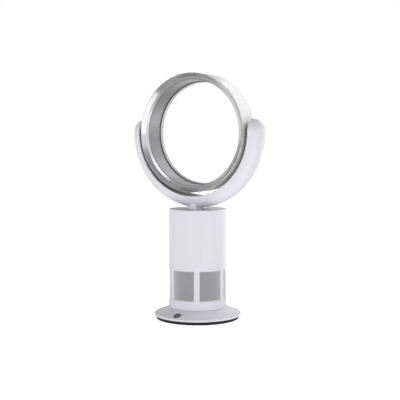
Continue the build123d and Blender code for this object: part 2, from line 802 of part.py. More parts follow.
# ------------------------------------------------------------------ blower
# A rounded lip leads the air from the intake chamber up into the impeller.
with BuildPart() as inlet_bellmouth:
    lip_centre = (throat_bore + lip_radius, bellmouth_bottom + lip_radius)
    with BuildSketch(Plane.XZ):
        with BuildLine():
            CenterArc(lip_centre, lip_radius, 180, 90)
            Polyline(
                (lip_centre[0], bellmouth_bottom),
                (inner_fit_radius, bellmouth_bottom),
                (inner_fit_radius, bellmouth_top),
                (lip_centre[0], bellmouth_top),
            )
            CenterArc(lip_centre, lip_radius - bellmouth_wall, 270, -90)
            Line(
                (throat_bore + bellmouth_wall, lip_centre[1]),
                (throat_bore, lip_centre[1]),
            )
        make_face()
    revolve(axis=Axis.Z)
inlet_bellmouth.part.label = "inlet_bellmouth"
export_step(inlet_bellmouth.part, "parts/inlet_bellmouth.step")

duct_outer = duct_bore + duct_wall
flange_outer = duct_outer + duct_flange_width
with BuildPart() as rubber_mount:
    with BuildSketch(Plane.XY.offset(bellmouth_top)):
        Circle(flange_outer)
        Circle(flange_outer - mount_width, mode=Mode.SUBTRACT)
    extrude(amount=mount_thickness)
rubber_mount.part.label = "rubber_mount"
export_step(rubber_mount.part, "parts/rubber_mount.step")

with BuildPart() as diffuser:
    with BuildSketch(Plane.XY.offset(duct_bottom)):
        Circle(flange_outer)
    extrude(amount=duct_flange_thickness)
    with BuildSketch(Plane.XY.offset(duct_bottom)):
        Circle(duct_outer)
    extrude(amount=duct_height)
    with BuildSketch(Plane.XY.offset(duct_bottom)):
        Circle(duct_bore)
    extrude(amount=duct_height, mode=Mode.SUBTRACT)
    vane_reach = duct_bore - bucket_radius + duct_wall
    for vane in range(vane_count):
        vane_plane = outward_plane(
            360 * vane / vane_count, bucket_radius - duct_wall / 2, bucket_bottom + vane_height / 2
        )
        with BuildSketch(vane_plane):
            with BuildLine():
                ThreePointArc(
                    (-vane_lean, -vane_height / 2), (vane_lean / 4, 0), (vane_lean / 2, vane_height / 2)
                )
            trace(line_width=vane_thickness)
        extrude(amount=vane_reach)
    with BuildSketch(Plane.XY.offset(bucket_bottom)):
        Circle(bucket_radius)
    extrude(amount=bucket_height)
    with BuildSketch(Plane.XY.offset(bucket_inside)):
        Circle(bucket_radius - bucket_wall)
    extrude(amount=bucket_height, mode=Mode.SUBTRACT)
    with BuildSketch(Plane.XY.offset(bucket_inside - bearing_width)):
        Circle(bearing_radius)
    extrude(amount=bearing_width, mode=Mode.SUBTRACT)
    with BuildSketch(Plane.XY.offset(bucket_bottom)):
        Circle(shaft_radius + seat_gap + running_fit)
    extrude(amount=bucket_floor, mode=Mode.SUBTRACT)
diffuser.part.label = "diffuser"
export_step(diffuser.part, "parts/diffuser.step")

hub_nose = shaft_radius + impeller_nose_wall
with BuildPart() as impeller:
    for blade in range(blade_count):
        blade_angle = 360 * blade / blade_count
        blade_plane = Plane(
            origin=(0, 0, impeller_bottom),
            x_dir=(cos(radians(blade_angle)), sin(radians(blade_angle)), 0),
            z_dir=(0, 0, 1),
        )
        with BuildSketch(blade_plane):
            with BuildLine():
                blade_points = [
                    (impeller_radius * outward, impeller_radius * swept)
                    for outward, swept in blade_curve
                ]
                ThreePointArc((hub_nose, 0), *blade_points)
            trace(line_width=blade_thickness)
        extrude(amount=impeller_height)
    with BuildSketch(Plane.XZ):
        with BuildLine():
            Polyline(
                (0, impeller_bottom),
                (throat_bore - moving_gap, impeller_bottom),
                (impeller_radius, impeller_bottom + impeller_height * impeller_shoulder[1]),
                (impeller_radius, impeller_top),
                (0, impeller_top),
                close=True,
            )
        make_face()
    revolve(axis=Axis.Z, mode=Mode.INTERSECT)
    with BuildSketch(Plane.XZ):
        with BuildLine():
            Polyline(
                (0, impeller_bottom),
                (hub_nose, impeller_bottom + blade_thickness),
                (hub_nose * 2, impeller_bottom + impeller_height * impeller_shoulder[0]),
                (bucket_radius, impeller_top - bucket_wall),
                (bucket_radius, impeller_top),
                (0, impeller_top),
                close=True,
            )
        make_face()
    revolve(axis=Axis.Z)
    with BuildSketch(Plane.XY.offset(impeller_bottom)):
        Circle(shaft_radius)
    extrude(amount=impeller_height, mode=Mode.SUBTRACT)
impeller.part.label = "impeller"
export_step(impeller.part, "parts/impeller.step")

cap_boss_bottom = bucket_top - bearing_width
shaft_top = bucket_top - seat_gap
with BuildPart() as motor_shaft:
    with BuildSketch(Plane.XY.offset(impeller_bottom)):
        Circle(shaft_radius)
    extrude(amount=shaft_top - impeller_bottom)
    chamfer(motor_shaft.edges().filter_by(GeomType.CIRCLE), shaft_radius / 8)
motor_shaft.part.label = "motor_shaft"
export_step(motor_shaft.part, "parts/motor_shaft.step")

with BuildPart() as motor_rotor:
    with BuildSketch(Plane.XY.offset(bucket_inside + moving_gap)):
        Circle(rotor_radius)
        Circle(shaft_radius, mode=Mode.SUBTRACT)
    extrude(amount=stator_height - 2 * moving_gap)
motor_rotor.part.label = "motor_rotor"
export_step(motor_rotor.part, "parts/motor_rotor.step")

stator_ring_inner = stator_outer - stator_ring_width
with BuildPart() as motor_stator:
    with BuildSketch(Plane.XY.offset(bucket_inside)):
        Circle(stator_outer)
        Circle(stator_ring_inner, mode=Mode.SUBTRACT)
        tooth_start = stator_bore + stator_shoe_depth / 2
        tooth_end = stator_outer - stator_ring_width / 2
        with PolarLocations((tooth_start + tooth_end) / 2, stator_slots):
            Rectangle(tooth_end - tooth_start, stator_tooth_width)
        with PolarLocations(tooth_start, stator_slots):
            Rectangle(stator_shoe_depth, 2 * stator_tooth_width)
        Circle(stator_bore, mode=Mode.SUBTRACT)
    extrude(amount=stator_height)
motor_stator.part.label = "motor_stator"
export_step(motor_stator.part, "parts/motor_stator.step")

coil_inner = stator_bore + stator_shoe_depth + coil_gap
coil_outer = stator_ring_inner - coil_gap
coil_offset = (stator_tooth_width + coil_wall) / 2 + running_fit
with BuildPart() as motor_coils:
    with BuildSketch(Plane.XY.offset(bucket_inside + coil_end_gap)):
        with PolarLocations((coil_inner + coil_outer) / 2, stator_slots):
            with Locations((0, coil_offset), (0, -coil_offset)):
                Rectangle(coil_outer - coil_inner, coil_wall)
    extrude(amount=stator_height - 2 * coil_end_gap)
motor_coils.part.label = "motor_coils"
export_step(motor_coils.part, "parts/motor_coils.step")

for bearing_name, bearing_bottom in (
    ("lower_bearing", bucket_inside - bearing_width),
    ("upper_bearing", cap_boss_bottom),
):
    with BuildPart() as bearing:
        with BuildSketch(Plane.XY.offset(bearing_bottom)):
            Circle(bearing_radius - running_fit)
            Circle(shaft_radius + running_fit, mode=Mode.SUBTRACT)
        extrude(amount=bearing_width)
        with BuildSketch(Plane.XY.offset(bearing_bottom + bearing_width)):
            Circle(bearing_radius - bearing_race)
            Circle(shaft_radius + bearing_race, mode=Mode.SUBTRACT)
        extrude(amount=-bearing_groove, mode=Mode.SUBTRACT)
    bearing.part.label = bearing_name
    export_step(bearing.part, f"parts/{bearing_name}.step")

with BuildPart() as motor_cap:
    with BuildSketch(Plane.XZ):
        with BuildLine():
            Polyline(
                (0, cap_boss_bottom),
                (bearing_radius + bucket_wall, cap_boss_bottom),
                (bearing_radius + bucket_wall, bucket_top),
                (bucket_radius, bucket_top),
                (bucket_radius, bucket_top + motor_cap_thickness),
                (bucket_radius * motor_cap_shoulder, bucket_top + 2 * motor_cap_thickness),
                (0, bucket_top + 2.5 * motor_cap_thickness),
                close=True,
            )
        make_face()
    revolve(axis=Axis.Z)
    with BuildSketch(Plane.XY.offset(cap_boss_bottom)):
        Circle(bearing_radius)
    extrude(amount=bearing_width, mode=Mode.SUBTRACT)
motor_cap.part.label = "motor_cap"
export_step(motor_cap.part, "parts/motor_cap.step")

# The collector narrows to a mouth that leaves room for the neck's screws inside it.
collector_mouth = hypot(neck_screw_x, neck_screw_y) + screw_head_radius + moving_gap
with BuildPart() as air_collector:
    with BuildSketch(Plane.XZ):
        with BuildLine():
            Polyline(
                (duct_bore, duct_top),
                (duct_outer, duct_top),
                (collector_mouth + duct_wall, cover_bottom - collector_lip),
                (collector_mouth + duct_wall, cover_bottom),
                (collector_mouth, cover_bottom),
                (collector_mouth, cover_bottom - collector_lip),
                close=True,
            )
        make_face()
    revolve(axis=Axis.Z)
air_collector.part.label = "air_collector"
export_step(air_collector.part, "parts/air_collector.step")

# ------------------------------------------------------------------ top cover and neck
neck_screw_spots = GridLocations(2 * neck_screw_x, 2 * neck_screw_y, 2, 2)
with BuildPart() as top_cover:
    with BuildSketch(Plane.XY.offset(cover_bottom)):
        Circle(inner_fit_radius)
        Rectangle(air_slot_width, air_slot_length, mode=Mode.SUBTRACT)
        with neck_screw_spots:
            Circle(screw_radius + seat_gap, mode=Mode.SUBTRACT)
    extrude(amount=cover_thickness)
top_cover.part.label = "top_cover"
export_step(top_cover.part, "parts/top_cover.step")

with BuildPart() as neck:
    with BuildSketch(Plane.XZ) as neck_front:
        flare_width = neck_foot_half_width - neck_half_width
        with BuildLine():
            Line((0, cover_top), (neck_foot_half_width, cover_top))
            EllipticalCenterArc(
                (neck_foot_half_width, cover_top + neck_flare_height),
                flare_width,
                neck_flare_height,
                start_angle=270,
                arc_size=-90,
            )
            Line((neck_half_width, cover_top + neck_flare_height), (neck_half_width, neck_top))
            Line((neck_half_width, neck_top), (0, neck_top))
            mirror(about=Plane.YZ)
        make_face()
    extrude(amount=neck_half_depth, both=True)
    add(yoke_envelope, mode=Mode.SUBTRACT)
    with BuildSketch(Plane.XY.offset(cover_top)):
        Rectangle(air_slot_width, air_slot_length)
    extrude(amount=neck_height, mode=Mode.SUBTRACT)
    with BuildSketch(Plane.XY.offset(cover_top)):
        with neck_screw_spots:
            Circle(screw_radius - running_fit)
    extrude(amount=neck_screw_depth + blind_end, mode=Mode.SUBTRACT)
neck.part.label = "neck"
export_step(neck.part, "parts/neck.step")

with BuildPart() as neck_screws:
    with BuildSketch(Plane.XY.offset(cover_bottom - screw_head_height)):
        with neck_screw_spots:
            Circle(screw_head_radius)
    extrude(amount=screw_head_height)
    with BuildSketch(Plane.XY.offset(cover_bottom)):
        with neck_screw_spots:
            Circle(screw_radius - 2 * running_fit)
    extrude(amount=cover_thickness + neck_screw_depth)
neck_screws.part.label = "neck_screws"
export_step(neck_screws.part, "parts/neck_screws.step")

# ================================================================== yoke
# Two half shells meet at the middle plane. A dark inner frame closes their inner side.
cap_plane = Plane.XY.offset(ring_height + cap_seam_rise)
for shell_name, kept_side, slide in (
    ("yoke_front_shell", Keep.TOP, -seat_gap / 2),
    ("yoke_rear_shell", Keep.BOTTOM, seat_gap / 2),
):
    with BuildPart() as yoke_shell:
        add(yoke_envelope)
        add(yoke_cavity, mode=Mode.SUBTRACT)
        add(frame_opening, mode=Mode.SUBTRACT)
        with BuildSketch(Plane.XY.offset(cover_top)):
            Rectangle(air_slot_width, air_slot_length)
        extrude(amount=ring_height - yoke_outer_radius + 4 * yoke_wall - cover_top, mode=Mode.SUBTRACT)
        split(bisect_by=Plane.XZ.offset(-slide), keep=kept_side)
        split(bisect_by=cap_plane.offset(-seat_gap), keep=Keep.BOTTOM)
    yoke_shell.part.label = shell_name
    export_step(yoke_shell.part, f"parts/{shell_name}.step")

for cap_name, side in (("yoke_cap_left", -1), ("yoke_cap_right", 1)):
    with BuildPart() as yoke_cap:
        add(yoke_envelope)
        add(yoke_cavity, mode=Mode.SUBTRACT)
        add(frame_opening, mode=Mode.SUBTRACT)
        split(bisect_by=cap_plane, keep=Keep.TOP)
        split(bisect_by=Plane.YZ, keep=Keep.TOP if side > 0 else Keep.BOTTOM)
    yoke_cap.part.label = cap_name
    export_step(yoke_cap.part, f"parts/{cap_name}.step")

bush_outer = trunnion_radius + running_fit + pivot_bush_wall
with BuildPart() as yoke_frame:
    add(
        yoke_form(
            frame_inner_radius,
            frame_inner_radius + frame_wall,
            frame_inner_radius + frame_wall,
            frame_half_width,
        )
    )
    add(
        yoke_form(
            frame_step_radius,
            frame_step_radius + frame_wing_wall,
            frame_step_radius + frame_wing_wall,
            frame_half_width + frame_wing,
        )
    )
    for side in (1, -1):
        pivot_plane = Plane(origin=ring_centre, x_dir=(0, side, 0), z_dir=(side, 0, 0))
        with BuildSketch(pivot_plane.offset(spot_face + spot_face_depth)):
            Circle(bush_outer + pivot_boss_wall)
        extrude(amount=pivot_boss_end - spot_face - spot_face_depth)
        with BuildSketch(pivot_plane):
            Circle(collar_radius + 2 * moving_gap)
        extrude(amount=spot_face, mode=Mode.SUBTRACT)
        with BuildSketch(pivot_plane):
            Circle(bush_outer)
        extrude(amount=yoke_outer_radius, mode=Mode.SUBTRACT)
yoke_frame.part.label = "yoke_frame"
export_step(yoke_frame.part, "parts/yoke_frame.step")

# ------------------------------------------------------------------ pivots
ring_front = -ring_front_depth
bezel_rear = ring_front + bezel_side
groove_rear = bezel_rear + groove_width
rim_start = ring_rear - rim_depth
washer_face = spot_face - moving_gap / 2
collar_face = washer_face - washer_thickness
clip_face = pivot_boss_end + moving_gap / 2
trunnion_end = clip_face + clip_thickness + trunnion_overhang
with BuildPart() as ring_envelope:
    with BuildSketch(tilt_plane):
        with BuildLine():
            Polyline(
                (0, ring_front),
                (ring_radius, ring_front),
                (ring_radius, groove_rear),
                (ring_rear_radius, rim_start),
                (ring_rear_radius, ring_rear),
                (0, ring_rear),
                close=True,
            )
        make_face()
    revolve(axis=ring_axis)

for side_name, side in (("left", -1), ("right", 1)):
    pivot_plane = Plane(origin=ring_centre, x_dir=(0, side, 0), z_dir=(side, 0, 0))
    with BuildPart() as pivot_bush:
        with BuildSketch(pivot_plane.offset(spot_face)):
            Circle(bush_outer)
            Circle(trunnion_radius + running_fit, mode=Mode.SUBTRACT)
        extrude(amount=pivot_boss_end - spot_face)
    pivot_bush.part.label = f"pivot_bush_{side_name}"
    export_step(pivot_bush.part, f"parts/pivot_bush_{side_name}.step")

    with BuildPart() as trunnion:
        with BuildSketch(pivot_plane.offset(ring_rear_radius - 2 * ring_wall)):
            Circle(collar_radius)
        extrude(amount=collar_face - ring_rear_radius + 2 * ring_wall)
        add(ring_envelope.part, mode=Mode.SUBTRACT)
        with BuildSketch(pivot_plane.offset(ring_rear_radius - 2 * ring_wall)):
            Circle(trunnion_radius)
        extrude(amount=trunnion_end - ring_rear_radius + 2 * ring_wall)
        with BuildSketch(pivot_plane.offset(ring_rear_radius - 3 * ring_wall)):
            Circle(trunnion_bore)
        extrude(amount=trunnion_end, mode=Mode.SUBTRACT)
    trunnion.part.label = f"trunnion_{side_name}"
    export_step(trunnion.part, f"parts/trunnion_{side_name}.step")

    with BuildPart() as friction_washer:
        with BuildSketch(pivot_plane.offset(collar_face)):
            Circle(collar_radius)
            Circle(trunnion_radius + running_fit, mode=Mode.SUBTRACT)
        extrude(amount=washer_thickness)
    friction_washer.part.label = f"friction_washer_{side_name}"
    export_step(friction_washer.part, f"parts/friction_washer_{side_name}.step")

    with BuildPart() as pivot_clip:
        with BuildSketch(pivot_plane.offset(clip_face)):
            Circle(trunnion_radius + clip_width)
            Circle(trunnion_radius + running_fit, mode=Mode.SUBTRACT)
        extrude(amount=clip_thickness)
    pivot_clip.part.label = f"pivot_clip_{side_name}"
    export_step(pivot_clip.part, f"parts/pivot_clip_{side_name}.step")

# ================================================================== ring
# Sections are drawn on the tilt plane: first value the radius, second the place along Y.
with BuildPart() as ring_outer_shell:
    with BuildSketch(tilt_plane):
        groove_radius = ring_radius - groove_depth
        with BuildLine():
            Polyline(
                (ring_radius, groove_rear + seat_gap),
                (ring_rear_radius, rim_start),
                (ring_rear_radius - ring_wall, rim_start),
                (ring_radius - ring_wall, groove_rear + ring_wall),
                (groove_radius, groove_rear + seat_gap),
                close=True,
            )
        make_face()
    revolve(axis=ring_axis)
    for side in (1, -1):
        pivot_plane = Plane(origin=ring_centre, x_dir=(0, side, 0), z_dir=(side, 0, 0))
        with BuildSketch(pivot_plane):
            Circle(trunnion_radius + running_fit)
        extrude(amount=yoke_inner_radius, mode=Mode.SUBTRACT)
ring_outer_shell.part.label = "ring_outer_shell"
export_step(ring_outer_shell.part, "parts/ring_outer_shell.step")

# The bezel's flare has two facets, a short side wall and the floor of the shadow groove.
# A tongue backs the inner shell.
bezel_step = (ring_radius - bezel_outer_facet[0], ring_front + bezel_outer_facet[1])
bezel_throat = (bezel_step[0] - bezel_inner_facet[0], bezel_step[1] + bezel_inner_facet[1])
flare_angle = atan2(bezel_throat[1] - ring_front, ring_radius - bezel_throat[0])
back_shift = (bezel_wall * sin(flare_angle), bezel_wall * cos(flare_angle))
tongue_radius = bezel_throat[0] + inner_shell_wall + seat_gap
with BuildPart() as front_bezel:
    with BuildSketch(tilt_plane) as bezel_section:
        with BuildLine():
            Polyline(
                (ring_radius, bezel_rear),
                (ring_radius, ring_front),
                bezel_step,
                bezel_throat,
                (tongue_radius, bezel_throat[1]),
                (tongue_radius, bezel_throat[1] + bezel_tongue),
                (tongue_radius + back_shift[0], bezel_throat[1] + bezel_tongue),
                (bezel_step[0] + back_shift[0], bezel_step[1] + back_shift[1]),
                (groove_radius, groove_rear),
                (groove_radius, bezel_rear),
                close=True,
            )
        make_face()
    revolve(axis=ring_axis)
front_bezel.part.label = "front_bezel"
export_step(front_bezel.part, "parts/front_bezel.step")

inner_rear = ring_rear - inner_shell_inset
inner_rear_radius = bezel_throat[0] - inner_shell_taper
with BuildPart() as ring_inner_shell:
    with BuildSketch(tilt_plane):
        with BuildLine():
            Polyline(
                (bezel_throat[0], bezel_throat[1] + seat_gap),
                (bezel_throat[0] + inner_shell_wall, bezel_throat[1] + seat_gap),
                (inner_rear_radius + inner_shell_wall, inner_rear),
                (inner_rear_radius, inner_rear),
                close=True,
            )
        make_face()
    revolve(axis=ring_axis)
ring_inner_shell.part.label = "ring_inner_shell"
export_step(ring_inner_shell.part, "parts/ring_inner_shell.step")

# The rear rim turns inward to a seam, with a tongue behind it that holds the slot lip.
rim_seam_radius = ring_rear_radius - rim_outer_round - rim_flat
tongue_face = ring_rear - rim_wall - seat_gap
with BuildPart() as rear_rim:
    with BuildSketch(tilt_plane):
        with BuildLine():
            FilletPolyline(
                (ring_rear_radius, rim_start + seat_gap),
                (ring_rear_radius, ring_rear),
                (rim_seam_radius + seat_gap, ring_rear),
                radius=rim_outer_round,
            )
            offset(amount=rim_wall, side=Side.LEFT)
        make_face()
        with BuildLine():
            Polyline(
                (rim_seam_radius + 2 * rim_tongue, ring_rear - rim_wall),
                (rim_seam_radius + seat_gap, ring_rear - rim_wall),
                (rim_seam_radius + seat_gap, tongue_face),
                (rim_seam_radius - rim_tongue, tongue_face),
                (rim_seam_radius - rim_tongue, tongue_face - rim_wall),
                (rim_seam_radius + 2 * rim_tongue, tongue_face - rim_wall),
                close=True,
            )
        make_face()
    revolve(axis=ring_axis)
rear_rim.part.label = "rear_rim"
export_step(rear_rim.part, "parts/rear_rim.step")

# The slot lip turns forward again, and its spacers hold the air slot open behind the inner shell.
lip_front = ring_rear - lip_depth
lip_front_radius = inner_rear_radius - air_gap - rim_wall
with BuildPart() as slot_lip:
    with BuildSketch(tilt_plane):
        with BuildLine():
            FilletPolyline(
                (rim_seam_radius, ring_rear),
                (lip_front_radius - lip_lean, ring_rear),
                (lip_front_radius, lip_front),
                radius=rim_inner_round,
            )
            offset(amount=rim_wall, side=Side.LEFT)
        make_face()
    revolve(axis=ring_axis)
    spacer_foot = lip_front_radius + rim_wall / 2
    for spacer in range(spacer_count):
        with BuildSketch(arm_plane(360 * (spacer + 0.5) / spacer_count)):
            with Locations(((spacer_foot + inner_rear_radius) / 2, (lip_front + inner_rear) / 2)):
                Rectangle(inner_rear_radius - spacer_foot, (inner_rear - lip_front) / 2)
        revolve(axis=ring_axis, revolution_arc=spacer_angle)
slot_lip.part.label = "slot_lip"
export_step(slot_lip.part, "parts/slot_lip.step")
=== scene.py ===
import json
from math import atan2, cos, pi, radians, sin, sqrt, tan, tau

import bmesh
import bpy
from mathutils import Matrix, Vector


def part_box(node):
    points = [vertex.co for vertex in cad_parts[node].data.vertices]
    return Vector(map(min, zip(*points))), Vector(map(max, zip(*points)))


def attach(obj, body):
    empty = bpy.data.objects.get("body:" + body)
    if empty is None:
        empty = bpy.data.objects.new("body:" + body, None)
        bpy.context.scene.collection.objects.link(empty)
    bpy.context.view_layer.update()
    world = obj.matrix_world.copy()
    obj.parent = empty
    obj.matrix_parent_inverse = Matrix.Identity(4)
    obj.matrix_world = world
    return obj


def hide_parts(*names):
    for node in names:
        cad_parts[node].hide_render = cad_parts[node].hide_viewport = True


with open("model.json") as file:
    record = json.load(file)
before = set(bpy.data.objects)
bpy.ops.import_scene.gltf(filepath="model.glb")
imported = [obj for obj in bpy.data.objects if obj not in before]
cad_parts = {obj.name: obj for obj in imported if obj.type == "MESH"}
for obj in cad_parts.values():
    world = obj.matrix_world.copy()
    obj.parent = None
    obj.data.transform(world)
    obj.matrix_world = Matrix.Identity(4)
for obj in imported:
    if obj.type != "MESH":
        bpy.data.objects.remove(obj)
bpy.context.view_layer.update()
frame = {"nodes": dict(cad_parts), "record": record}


# ---------------------------------------------------------------- where the fan is seen from
# The camera stands in front and to the fan's right, level with the middle of the ring,
# and looks slightly down with a long lens.
camera = bpy.data.objects.new("camera", bpy.data.cameras.new("camera"))
bpy.context.scene.collection.objects.link(camera)
camera.data.sensor_width = 36.0
camera.data.lens = 80.41
camera.location = (1.1133, -1.7972, 0.4296)
camera.rotation_euler = (radians(85.972), 0.0, radians(31.626))
bpy.context.scene.camera = camera
bpy.context.scene.view_settings.view_transform = "Standard"


# ---------------------------------------------------------------- rubber foot
# A ring of soft black rubber, pressed from one strip, that carries the fan and keeps it from
# sliding. Its outer side has three fine grip grooves.
class Wire:
    """A value or colour on its way through a material. Arithmetic on it adds the nodes."""

    def __init__(self, tree, socket=None):
        self.tree = tree
        self.socket = socket

    def node(self, kind, settings, sockets, output=0):
        made = self.tree.nodes.new(kind)
        for name, value in settings.items():
            setattr(made, name, value)
        for name, value in sockets.items():
            if isinstance(value, Wire):
                self.tree.links.new(value.socket, made.inputs[name])
            else:
                made.inputs[name].default_value = value
        return Wire(self.tree, made.outputs[output])

    def maths(self, operation, first, second=0.0):
        return self.node("ShaderNodeMath", {"operation": operation}, {0: first, 1: second})

    def __add__(self, other):
        return self.maths("ADD", self, other)

    def __sub__(self, other):
        return self.maths("SUBTRACT", self, other)

    def __rsub__(self, other):
        return self.maths("SUBTRACT", other, self)

    def __mul__(self, other):
        return self.maths("MULTIPLY", self, other)

    __radd__ = __add__
    __rmul__ = __mul__

    def sine(self):
        return self.maths("SINE", self)

    def fade(self, low, high):
        """0 at low and 1 at high, level beyond both."""
        sockets = {"Value": self, "From Min": low, "From Max": high}
        return self.node("ShaderNodeMapRange", {"clamp": True}, sockets)

    def colour(self, low, high):
        """Colour low at 0 and colour high at 1."""
        sockets = {0: self, 6: (*low, 1.0), 7: (*high, 1.0)}
        return self.node("ShaderNodeMix", {"data_type": "RGBA"}, sockets, output=2)


class Finish:
    """One material: the start of its wires, and the shader that they end in."""

    def __init__(self, name, **fixed):
        self.material = bpy.data.materials.new(name)
        self.material.use_nodes = True
        tree = self.material.node_tree
        self.shader = tree.nodes["Principled BSDF"]
        self.start = Wire(tree)
        self.place = self.start.node("ShaderNodeTexCoord", {}, {}, output=3)
        for socket, value in fixed.items():
            self.shader.inputs[socket.replace("_", " ").title()].default_value = value

    def noise(self, scale, detail=2.0):
        sockets = {"Vector": self.place, "Scale": scale, "Detail": detail}
        return self.start.node("ShaderNodeTexNoise", {}, sockets)

    def feed(self, socket, wire):
        self.start.tree.links.new(wire.socket, self.shader.inputs[socket])

    def grain(self, height, distance):
        sockets = {"Height": height, "Distance": distance, "Strength": 1.0}
        self.feed("Normal", self.start.node("ShaderNodeBump", {}, sockets))


def rounded(corners, steps=6):
    """A closed outline with each corner (x, y, radius) turned into an arc.

    A point a little before and after each arc keeps the faces beside it flat.
    """
    lead = 0.4
    outline = []
    for here, (x, y, radius) in enumerate(corners):
        corner = Vector((x, y))
        if not radius:
            outline.append(corner)
            continue
        back = (Vector(corners[here - 1][:2]) - corner).normalized()
        onward = (Vector(corners[(here + 1) % len(corners)][:2]) - corner).normalized()
        half = back.angle(onward) / 2
        centre = corner + (back + onward).normalized() * radius / sin(half)
        first = corner + back * radius / tan(half) - centre
        sweep = pi - 2 * half
        if back.cross(onward) > 0:
            sweep = -sweep
        outline.append(centre + first + back * radius * lead)
        for step in range(steps + 1):
            angle = sweep * step / steps
            turned_x = first.x * cos(angle) - first.y * sin(angle)
            turned_y = first.x * sin(angle) + first.y * cos(angle)
            outline.append(centre + Vector((turned_x, turned_y)))
        outline.append(corner + onward * radius * (1 / tan(half) + lead))
    return outline


def woven(rows, rows_close=True, columns_close=True, left_out=()):
    """A bmesh over rows of points, closed round either way, but for the faces left out."""
    form = bmesh.new()
    grid = [[form.verts.new(point) for point in row] for row in rows]
    across = len(rows[0])
    for low in range(len(grid) if rows_close else len(grid) - 1):
        high = (low + 1) % len(grid)
        for here in range(across if columns_close else across - 1):
            if (low, here) in left_out:
                continue
            beside = (here + 1) % across
            corners = (grid[low][here], grid[low][beside], grid[high][beside], grid[high][here])
            form.faces.new(corners)
    return form


def piece(name, form, body, material, replaced):
    """The finished bmesh as a piece that rides on its body, in place of CAD nodes."""
    mesh = bpy.data.meshes.new(name)
    form.to_mesh(mesh)
    form.free()
    mesh.shade_smooth()
    mesh.set_sharp_from_angle(angle=radians(40))
    made = bpy.data.objects.new(name, mesh)
    bpy.context.scene.collection.objects.link(made)
    mesh.materials.append(material)
    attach(made, body)
    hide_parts(*replaced)
    return made


def skin(name, rows, body, material, replaced, round_trip=True):
    """A smooth piece over rows of points."""
    form = woven(rows, rows_close=round_trip)
    bmesh.ops.remove_doubles(form, verts=form.verts, dist=1e-6)
    bmesh.ops.recalc_face_normals(form, faces=form.faces)
    return piece(name, form, body, material, replaced)


def standing(radius, height, angle):
    """A point round the drum's axis."""
    return (radius * cos(angle), radius * sin(angle), height)


def turned(name, corners, body, material, replaced, spot=standing, sides=240):
    """A piece turned about an axis, from its rounded outline."""
    outline = rounded(corners)
    rows = [[spot(x, y, tau * side / sides) for x, y in outline] for side in range(sides)]
    return skin(name, rows, body, material, replaced)


rubber = Finish("black_rubber", roughness=0.78)
rubber_wear = rubber.noise(90.0, 4.0)
rubber.feed("Base Color", rubber_wear.colour((0.010, 0.010, 0.011), (0.028, 0.028, 0.030)))
rubber.feed("Roughness", rubber_wear * 0.2 + 0.68)
rubber.grain(rubber.noise(2200.0), 0.00006)

foot_bore, foot_side, foot_top = 0.078, 0.0985, 0.008
groove_half, groove_depth = 0.0003, 0.0005
foot_corners = [(foot_bore, 0.0, 0.0008), (foot_side, 0.0, 0.0012)]
for groove in (0.0024, 0.0042, 0.0060):
    foot_corners += [
        (foot_side, groove - groove_half, 0),
        (foot_side - groove_depth, groove, 0),
        (foot_side, groove + groove_half, 0),
    ]
foot_corners += [(foot_side, foot_top, 0.0003), (foot_bore, foot_top, 0.0003)]
turned("foot_ring", foot_corners, "base", rubber.material, ["rubber_foot"])


# ---------------------------------------------------------------- base cover
# One injection-moulded shell of white plastic with a fine satin grain: a low cone, a short
# upright rim, and a well in the middle for the swivel. Six screws hold it from below.
def moulded(name, low, high, roughness=0.42, grain=0.00003):
    """Satin plastic: faint clouding of the tone and a fine spark-eroded grain."""
    made = Finish(name)
    clouds = made.noise(14.0, 3.0)
    specks = made.noise(1400.0, 2.0)
    spread = 0.12
    made.feed("Base Color", clouds.colour(low, high))
    made.feed("Roughness", specks * spread + (roughness - spread / 2))
    made.grain(specks, grain)
    return made.material


white = moulded("white_plastic", (0.760, 0.757, 0.800), (0.790, 0.786, 0.828))

cone_low, cone_high = (0.1031, 0.0129), (0.0686, 0.0269)
cone_slope = atan2(cone_high[1] - cone_low[1], cone_low[0] - cone_high[0])
plastic_wall = 0.0025
well_radius, well_bottom = 0.0480, 0.0105
rim_inside = cone_low[0] - plastic_wall
land_underside = cone_high[1] - plastic_wall
cone_corners = [
    (cone_low[0], foot_top, 0.0004),
    (*cone_low, 0.0013),
    (*cone_high, 0.0010),
    (well_radius, cone_high[1], 0.0010),
    (well_radius, well_bottom, 0),
    (well_radius + plastic_wall, well_bottom, 0),
    (well_radius + plastic_wall, land_underside, 0),
    (0.0680, land_underside, 0),
    (rim_inside, 0.0112, 0),
    (rim_inside, foot_top, 0),
]
base_cover = turned("cone_cover", cone_corners, "base", white, ["base_cover"])


def loose(name, form):
    """The finished bmesh as an object that belongs to no body."""
    mesh = bpy.data.meshes.new(name)
    form.to_mesh(mesh)
    form.free()
    made = bpy.data.objects.new(name, mesh)
    bpy.context.scene.collection.objects.link(made)
    return made


def drill(name, low_radius, high_radius, middle, direction, height):
    """A round tool that only cuts, along a direction."""
    form = bmesh.new()
    settings = {"cap_ends": True, "segments": 96, "depth": height}
    bmesh.ops.create_cone(form, radius1=low_radius, radius2=high_radius, **settings)
    tool = loose(name, form)
    tool.rotation_mode = "QUATERNION"
    tool.rotation_quaternion = Vector(direction).to_track_quat("Z", "Y")
    tool.location = middle
    return tool


def carve(target, *tools):
    """Cuts the tools out of a piece and throws them away."""
    for tool in tools:
        cut = target.modifiers.new("cut", "BOOLEAN")
        cut.operation = "DIFFERENCE"
        cut.solver = "EXACT"
        cut.object = tool
    bpy.context.view_layer.update()
    settled = target.evaluated_get(bpy.context.evaluated_depsgraph_get())
    mesh = bpy.data.meshes.new_from_object(settled)
    target.modifiers.clear()
    target.data = mesh
    mesh.shade_smooth()
    mesh.set_sharp_from_angle(angle=radians(32))
    for tool in tools:
        bpy.data.objects.remove(tool)


